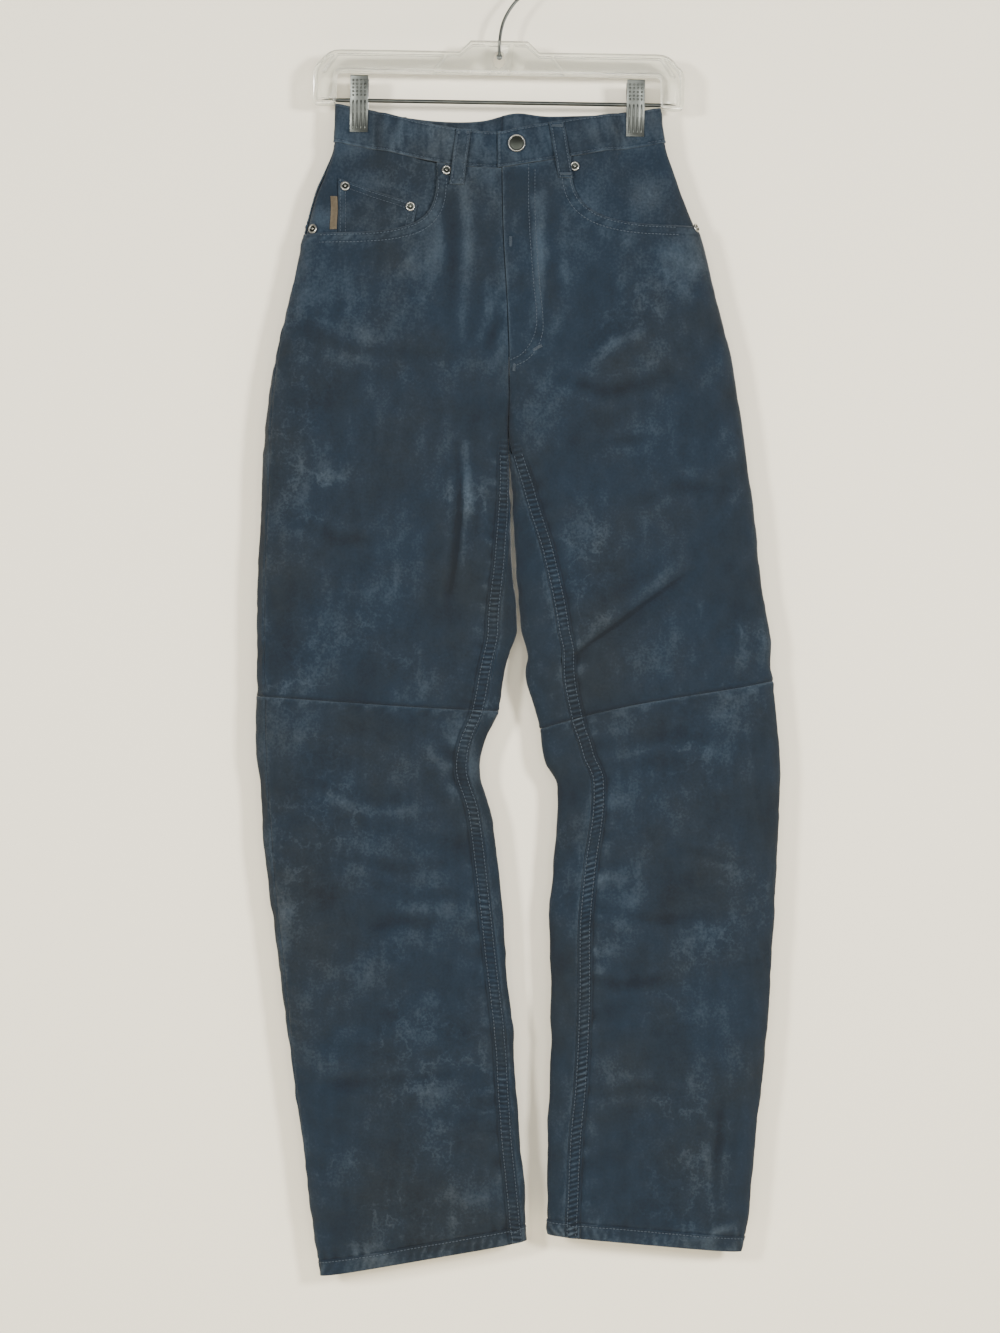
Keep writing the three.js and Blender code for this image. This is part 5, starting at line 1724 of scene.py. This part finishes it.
RIVETS = ("mouth_right", "side_right", "coin_side", "coin_centre", "mouth_left", "side_left")


def node_axis(node):
    """Middle of a turned CAD node's foot and its axis: the direction in which it is thinnest."""
    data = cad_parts[node].data
    points = np.zeros(len(data.vertices) * 3, np.float32)
    data.vertices.foreach_get("co", points)
    points = points.reshape(-1, 3).astype(float) / MM
    middle = (points.max(0) + points.min(0)) / 2
    _, _, axes = np.linalg.svd(points - points.mean(0), full_matrices=False)
    up = axes[2] * -np.sign(axes[2][1])
    return middle + up * ((points - middle) @ up).min(), up


def turned(profile, count, sides, node):
    """A smooth turned part that stands where a CAD node does, along its axis."""
    points, faces = lathe(smooth_profile(profile, count), sides)
    return stood_on(points, *node_axis(node)), faces


class TROUSERS_OT_fittings(bpy.types.Operator):
    """Waist button and rivets"""
    bl_idname = "trousers.fittings"
    bl_label = "Button and rivets"

    def execute(self, context):
        kept = context.scene.trousers_fittings
        nickel = metal("nickel", kept.nickel, 0.3)
        bronze = metal("dark_bronze", kept.bronze, 0.42, 0.06)
        rim = BUTTON_BACK[:-1] + BUTTON_RIM + [(6.6, 2.1), (0.02, 2.1)]
        middle = [(0.02, 2.0), (6.8, 2.0)] + BUTTON_MIDDLE
        closed_object("button_rim", [turned(rim, 60, 48, "waist_button")], nickel,
                      "waist_button")
        closed_object("button_middle", [turned(middle, 40, 48, "waist_button")], bronze)
        for name in RIVETS:
            node = f"rivet_{name}"
            caps = [turned(profile, 36, 36, node) for profile in (RIVET_RING, RIVET_DOT)]
            closed_object(f"nickel_rivet_{name}", caps, nickel, node)
            closed_object(f"rivet_well_{name}", [turned(RIVET_WELL, 24, 36, node)], bronze)
        return {"FINISHED"}


def clip_grip(side_x):
    """Knurled dots on a clip's upper third and four long ridges below, on the front jaw."""
    parts = []
    columns = side_x + (np.arange(4) - 1.5) * GRIP_PITCH[0]
    dot, faces = lathe(GRIP_DOT, 10)
    for height in 47.5 - GRIP_PITCH[1] * np.arange(5):
        depth = np.interp(height, *CLIP_FACE)
        for x in columns:
            place = np.stack([x + dot[:, 0], -depth - dot[:, 2], height + dot[:, 1]], -1)
            parts.append((place, faces))
    heights = np.linspace(1.5, 29.5, 40)
    for x in columns:
        path = np.stack([x + 0 * heights, 0.25 - np.interp(heights, *CLIP_FACE), heights], -1)
        parts.append(tube(path, 0.95, 10))
    return [(from_hanger(points + np.array([0, 0, CLIP_FOOT])), faces) for points, faces in parts]


def hook_parts():
    """The hook: a wire up its shank and round its bow, and the flat head in the eye."""
    angle = np.radians(np.linspace(*HOOK_SPAN, 60))
    bow = np.stack([HOOK_RADIUS * np.cos(angle),
                    HOOK_WIRE - HOOK_RADIUS + HOOK_RADIUS * np.sin(angle)], -1)
    x, z = EYE[0], EYE[2]
    shank = [(x + 0.2, z + 3), (x + 0.5, z + 18)] + SHANK
    line_x, line_z = smooth_line(*np.concatenate([np.array(shank), bow]).T, 260)
    wire = tube(np.stack([line_x, 0 * line_x, line_z], -1), HOOK_WIRE, 20)
    disc, faces = lathe(HOOK_HEAD, 24)
    head = np.stack([x + 0.2 + disc[:, 0], disc[:, 2], z + 3 + disc[:, 1]], -1)
    return [wire, (head, faces)]


class TROUSERS_OT_hanger(bpy.types.Operator):
    """The clip hanger: clear body, bar, clips and hook"""
    bl_idname = "trousers.hanger"
    bl_label = "Hanger"

    def execute(self, context):
        clear, *_ = shader_material(
            "clear_plastic", Roughness=0.14, Transmission_Weight=0.9, IOR=1.46,
            Base_Color=PLASTIC)
        # steel with a painted dark reflection in its darkened colour
        steel = metal("polished_steel", context.scene.trousers_fittings.steel, 0.36)
        softened_copy("hanger_frame", "hanger_body", clear, 0.5)
        along = np.linspace(-BAR_HALF, BAR_HALF, 60)
        bar = from_hanger(np.stack([along, 0 * along, 0 * along - BAR_DROP], -1))
        closed_object("steel_bar", [tube(bar, BAR_RADIUS, 32)], steel, "hanger_bar")
        for side in ("right", "left"):
            softened_copy(f"steel_clip_{side}", f"clip_{side}", steel, 0.35)
            closed_object(f"clip_grip_{side}", clip_grip(CLIP_X[side] - EYE[0]), steel)
        closed_object("wire_hook", hook_parts(), steel, "hanger_hook")
        return {"FINISHED"}


# The camera looks straight at the photo's middle; one of its pixels is 0.95 mm wide
PIXEL = 0.00095
PICTURE = (1000, 1333)
CUT_TOP = 42               # pixels from the frame's origin down to the picture's top edge
PLASTIC = (0.86, 0.87, 0.82, 1)


FLOOR = -1.8
WARM = (1, 0.98, 0.94)
COLD = (1, 1, 1)
# Lights: place, size, power and colour; the fill's height is above the middle of the view
LIGHTS = {
    "key_right": ((1.25, -2.2, -0.25), 0.35, 70, WARM),
    "key_left": ((-1.25, -2.2, -0.25), 0.35, 54, WARM),
    "fill": ((0, -2.5, 0.2), 1.0, 28, WARM),
    "back_right": ((1.3, 2.2, 0.2), 0.9, 95, COLD),
    "back_left": ((-1.3, 2.4, -0.4), 1.4, 70, COLD),
}


def backdrop_material(name, colour, one_sided=False):
    """A flat, pale surface; a one-sided one is clear from behind and casts no shadow."""
    material, tree, main = shader_material(name, Roughness=0.9, Base_Color=linear(colour))
    if one_sided:
        behind = tree.nodes.new("ShaderNodeNewGeometry").outputs["Backfacing"]
        shadow = tree.nodes.new("ShaderNodeLightPath").outputs["Is Shadow Ray"]
        clear = tree.nodes.new("ShaderNodeBsdfTransparent")
        choose = tree.nodes.new("ShaderNodeMixShader")
        tree.links.new(combined(tree, "MAXIMUM", behind, shadow), choose.inputs[0])
        tree.links.new(main.outputs[0], choose.inputs[1])
        tree.links.new(clear.outputs[0], choose.inputs[2])
        tree.links.new(choose.outputs[0], tree.nodes["Material Output"].inputs["Surface"])
    return material


def flat_stage(name, corners, material):
    """One flat piece of the stage."""
    mesh = bpy.data.meshes.new(name)
    mesh.from_pydata(corners, [], [(0, 1, 2, 3)])
    mesh.materials.append(material)
    obj = bpy.data.objects.new(name, mesh)
    bpy.context.scene.collection.objects.link(obj)


class TROUSERS_OT_stage(bpy.types.Operator):
    """Wall, floor, lights and camera"""
    bl_idname = "trousers.stage"
    bl_label = "Stage"

    def execute(self, context):
        kept = context.scene.trousers_stage
        scene = context.scene
        middle = -(PICTURE[1] / 2 + CUT_TOP) * PIXEL
        camera = bpy.data.cameras.new("camera")
        camera.lens = camera.sensor_width * kept.distance / (PICTURE[1] * PIXEL)
        camera.clip_end = 50
        eye = bpy.data.objects.new("camera", camera)
        scene.collection.objects.link(eye)
        eye.location = (0, -kept.distance, middle)
        eye.rotation_euler = (np.pi / 2, 0, 0)
        scene.camera = eye

        pale = backdrop_material("pale_backdrop", kept.backdrop)
        sided = backdrop_material("pale_wall", kept.backdrop, True)
        wall = [(x, kept.wall_gap, z) for x, z in ((-4, FLOOR), (4, FLOOR), (4, 2.5), (-4, 2.5))]
        floor = [(x, y, FLOOR) for x, y in ((-4, -5), (4, -5), (4, 4), (-4, 4))]
        flat_stage("wall", wall, sided)
        flat_stage("floor", floor, pale)

        scene.world = bpy.data.worlds.new("pale_room")
        scene.world.use_nodes = True
        background = scene.world.node_tree.nodes["Background"]
        background.inputs["Color"].default_value = (1, 0.99, 0.97, 1)
        background.inputs["Strength"].default_value = 0.35
        for name, ((x, y, z), size, power, colour) in LIGHTS.items():
            place = (x, y, z + middle) if name == "fill" else (x, y, z)
            lit_area(name, place, (0, 0, middle), size, power, colour)
        return {"FINISHED"}


GROUPS = ("leather", "thread", "fittings", "stage")
STEPS = ("panels", "waistband", "pockets", "loops", "stitching", "fittings", "hanger", "stage")


class TROUSERS_PT_sidebar(bpy.types.Panel):
    """Settings and steps of the trousers"""
    bl_idname = "TROUSERS_PT_sidebar"
    bl_label = "Leather trousers"
    bl_space_type = "VIEW_3D"
    bl_region_type = "UI"
    bl_category = "Trousers"

    def draw(self, context):
        for group in GROUPS:
            settings = getattr(context.scene, f"trousers_{group}")
            box = self.layout.box()
            box.label(text=group.capitalize())
            for name in settings.__annotations__:
                box.prop(settings, name)
        for step in STEPS:
            self.layout.operator(f"trousers.{step}")


CLASSES = (
    LeatherSettings, ThreadSettings, FittingSettings, StageSettings, TROUSERS_OT_panels,
    TROUSERS_OT_waistband, TROUSERS_OT_pockets, TROUSERS_OT_loops, TROUSERS_OT_stitching,
    TROUSERS_OT_fittings, TROUSERS_OT_hanger, TROUSERS_OT_stage, TROUSERS_PT_sidebar,
)


def register():
    """Adds the add-on's classes and its settings on the scene."""
    for kind in CLASSES:
        bpy.utils.register_class(kind)
    for group, kind in zip(GROUPS, CLASSES):
        setattr(bpy.types.Scene, f"trousers_{group}", bpy.props.PointerProperty(type=kind))


def unregister():
    """Takes the settings and classes away again."""
    for group in GROUPS:
        delattr(bpy.types.Scene, f"trousers_{group}")
    for kind in reversed(CLASSES):
        bpy.utils.unregister_class(kind)


def main():
    """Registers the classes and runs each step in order."""
    register()
    for step in STEPS:
        getattr(bpy.ops.trousers, step)()
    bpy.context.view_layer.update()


if __name__ == "__main__":
    main()
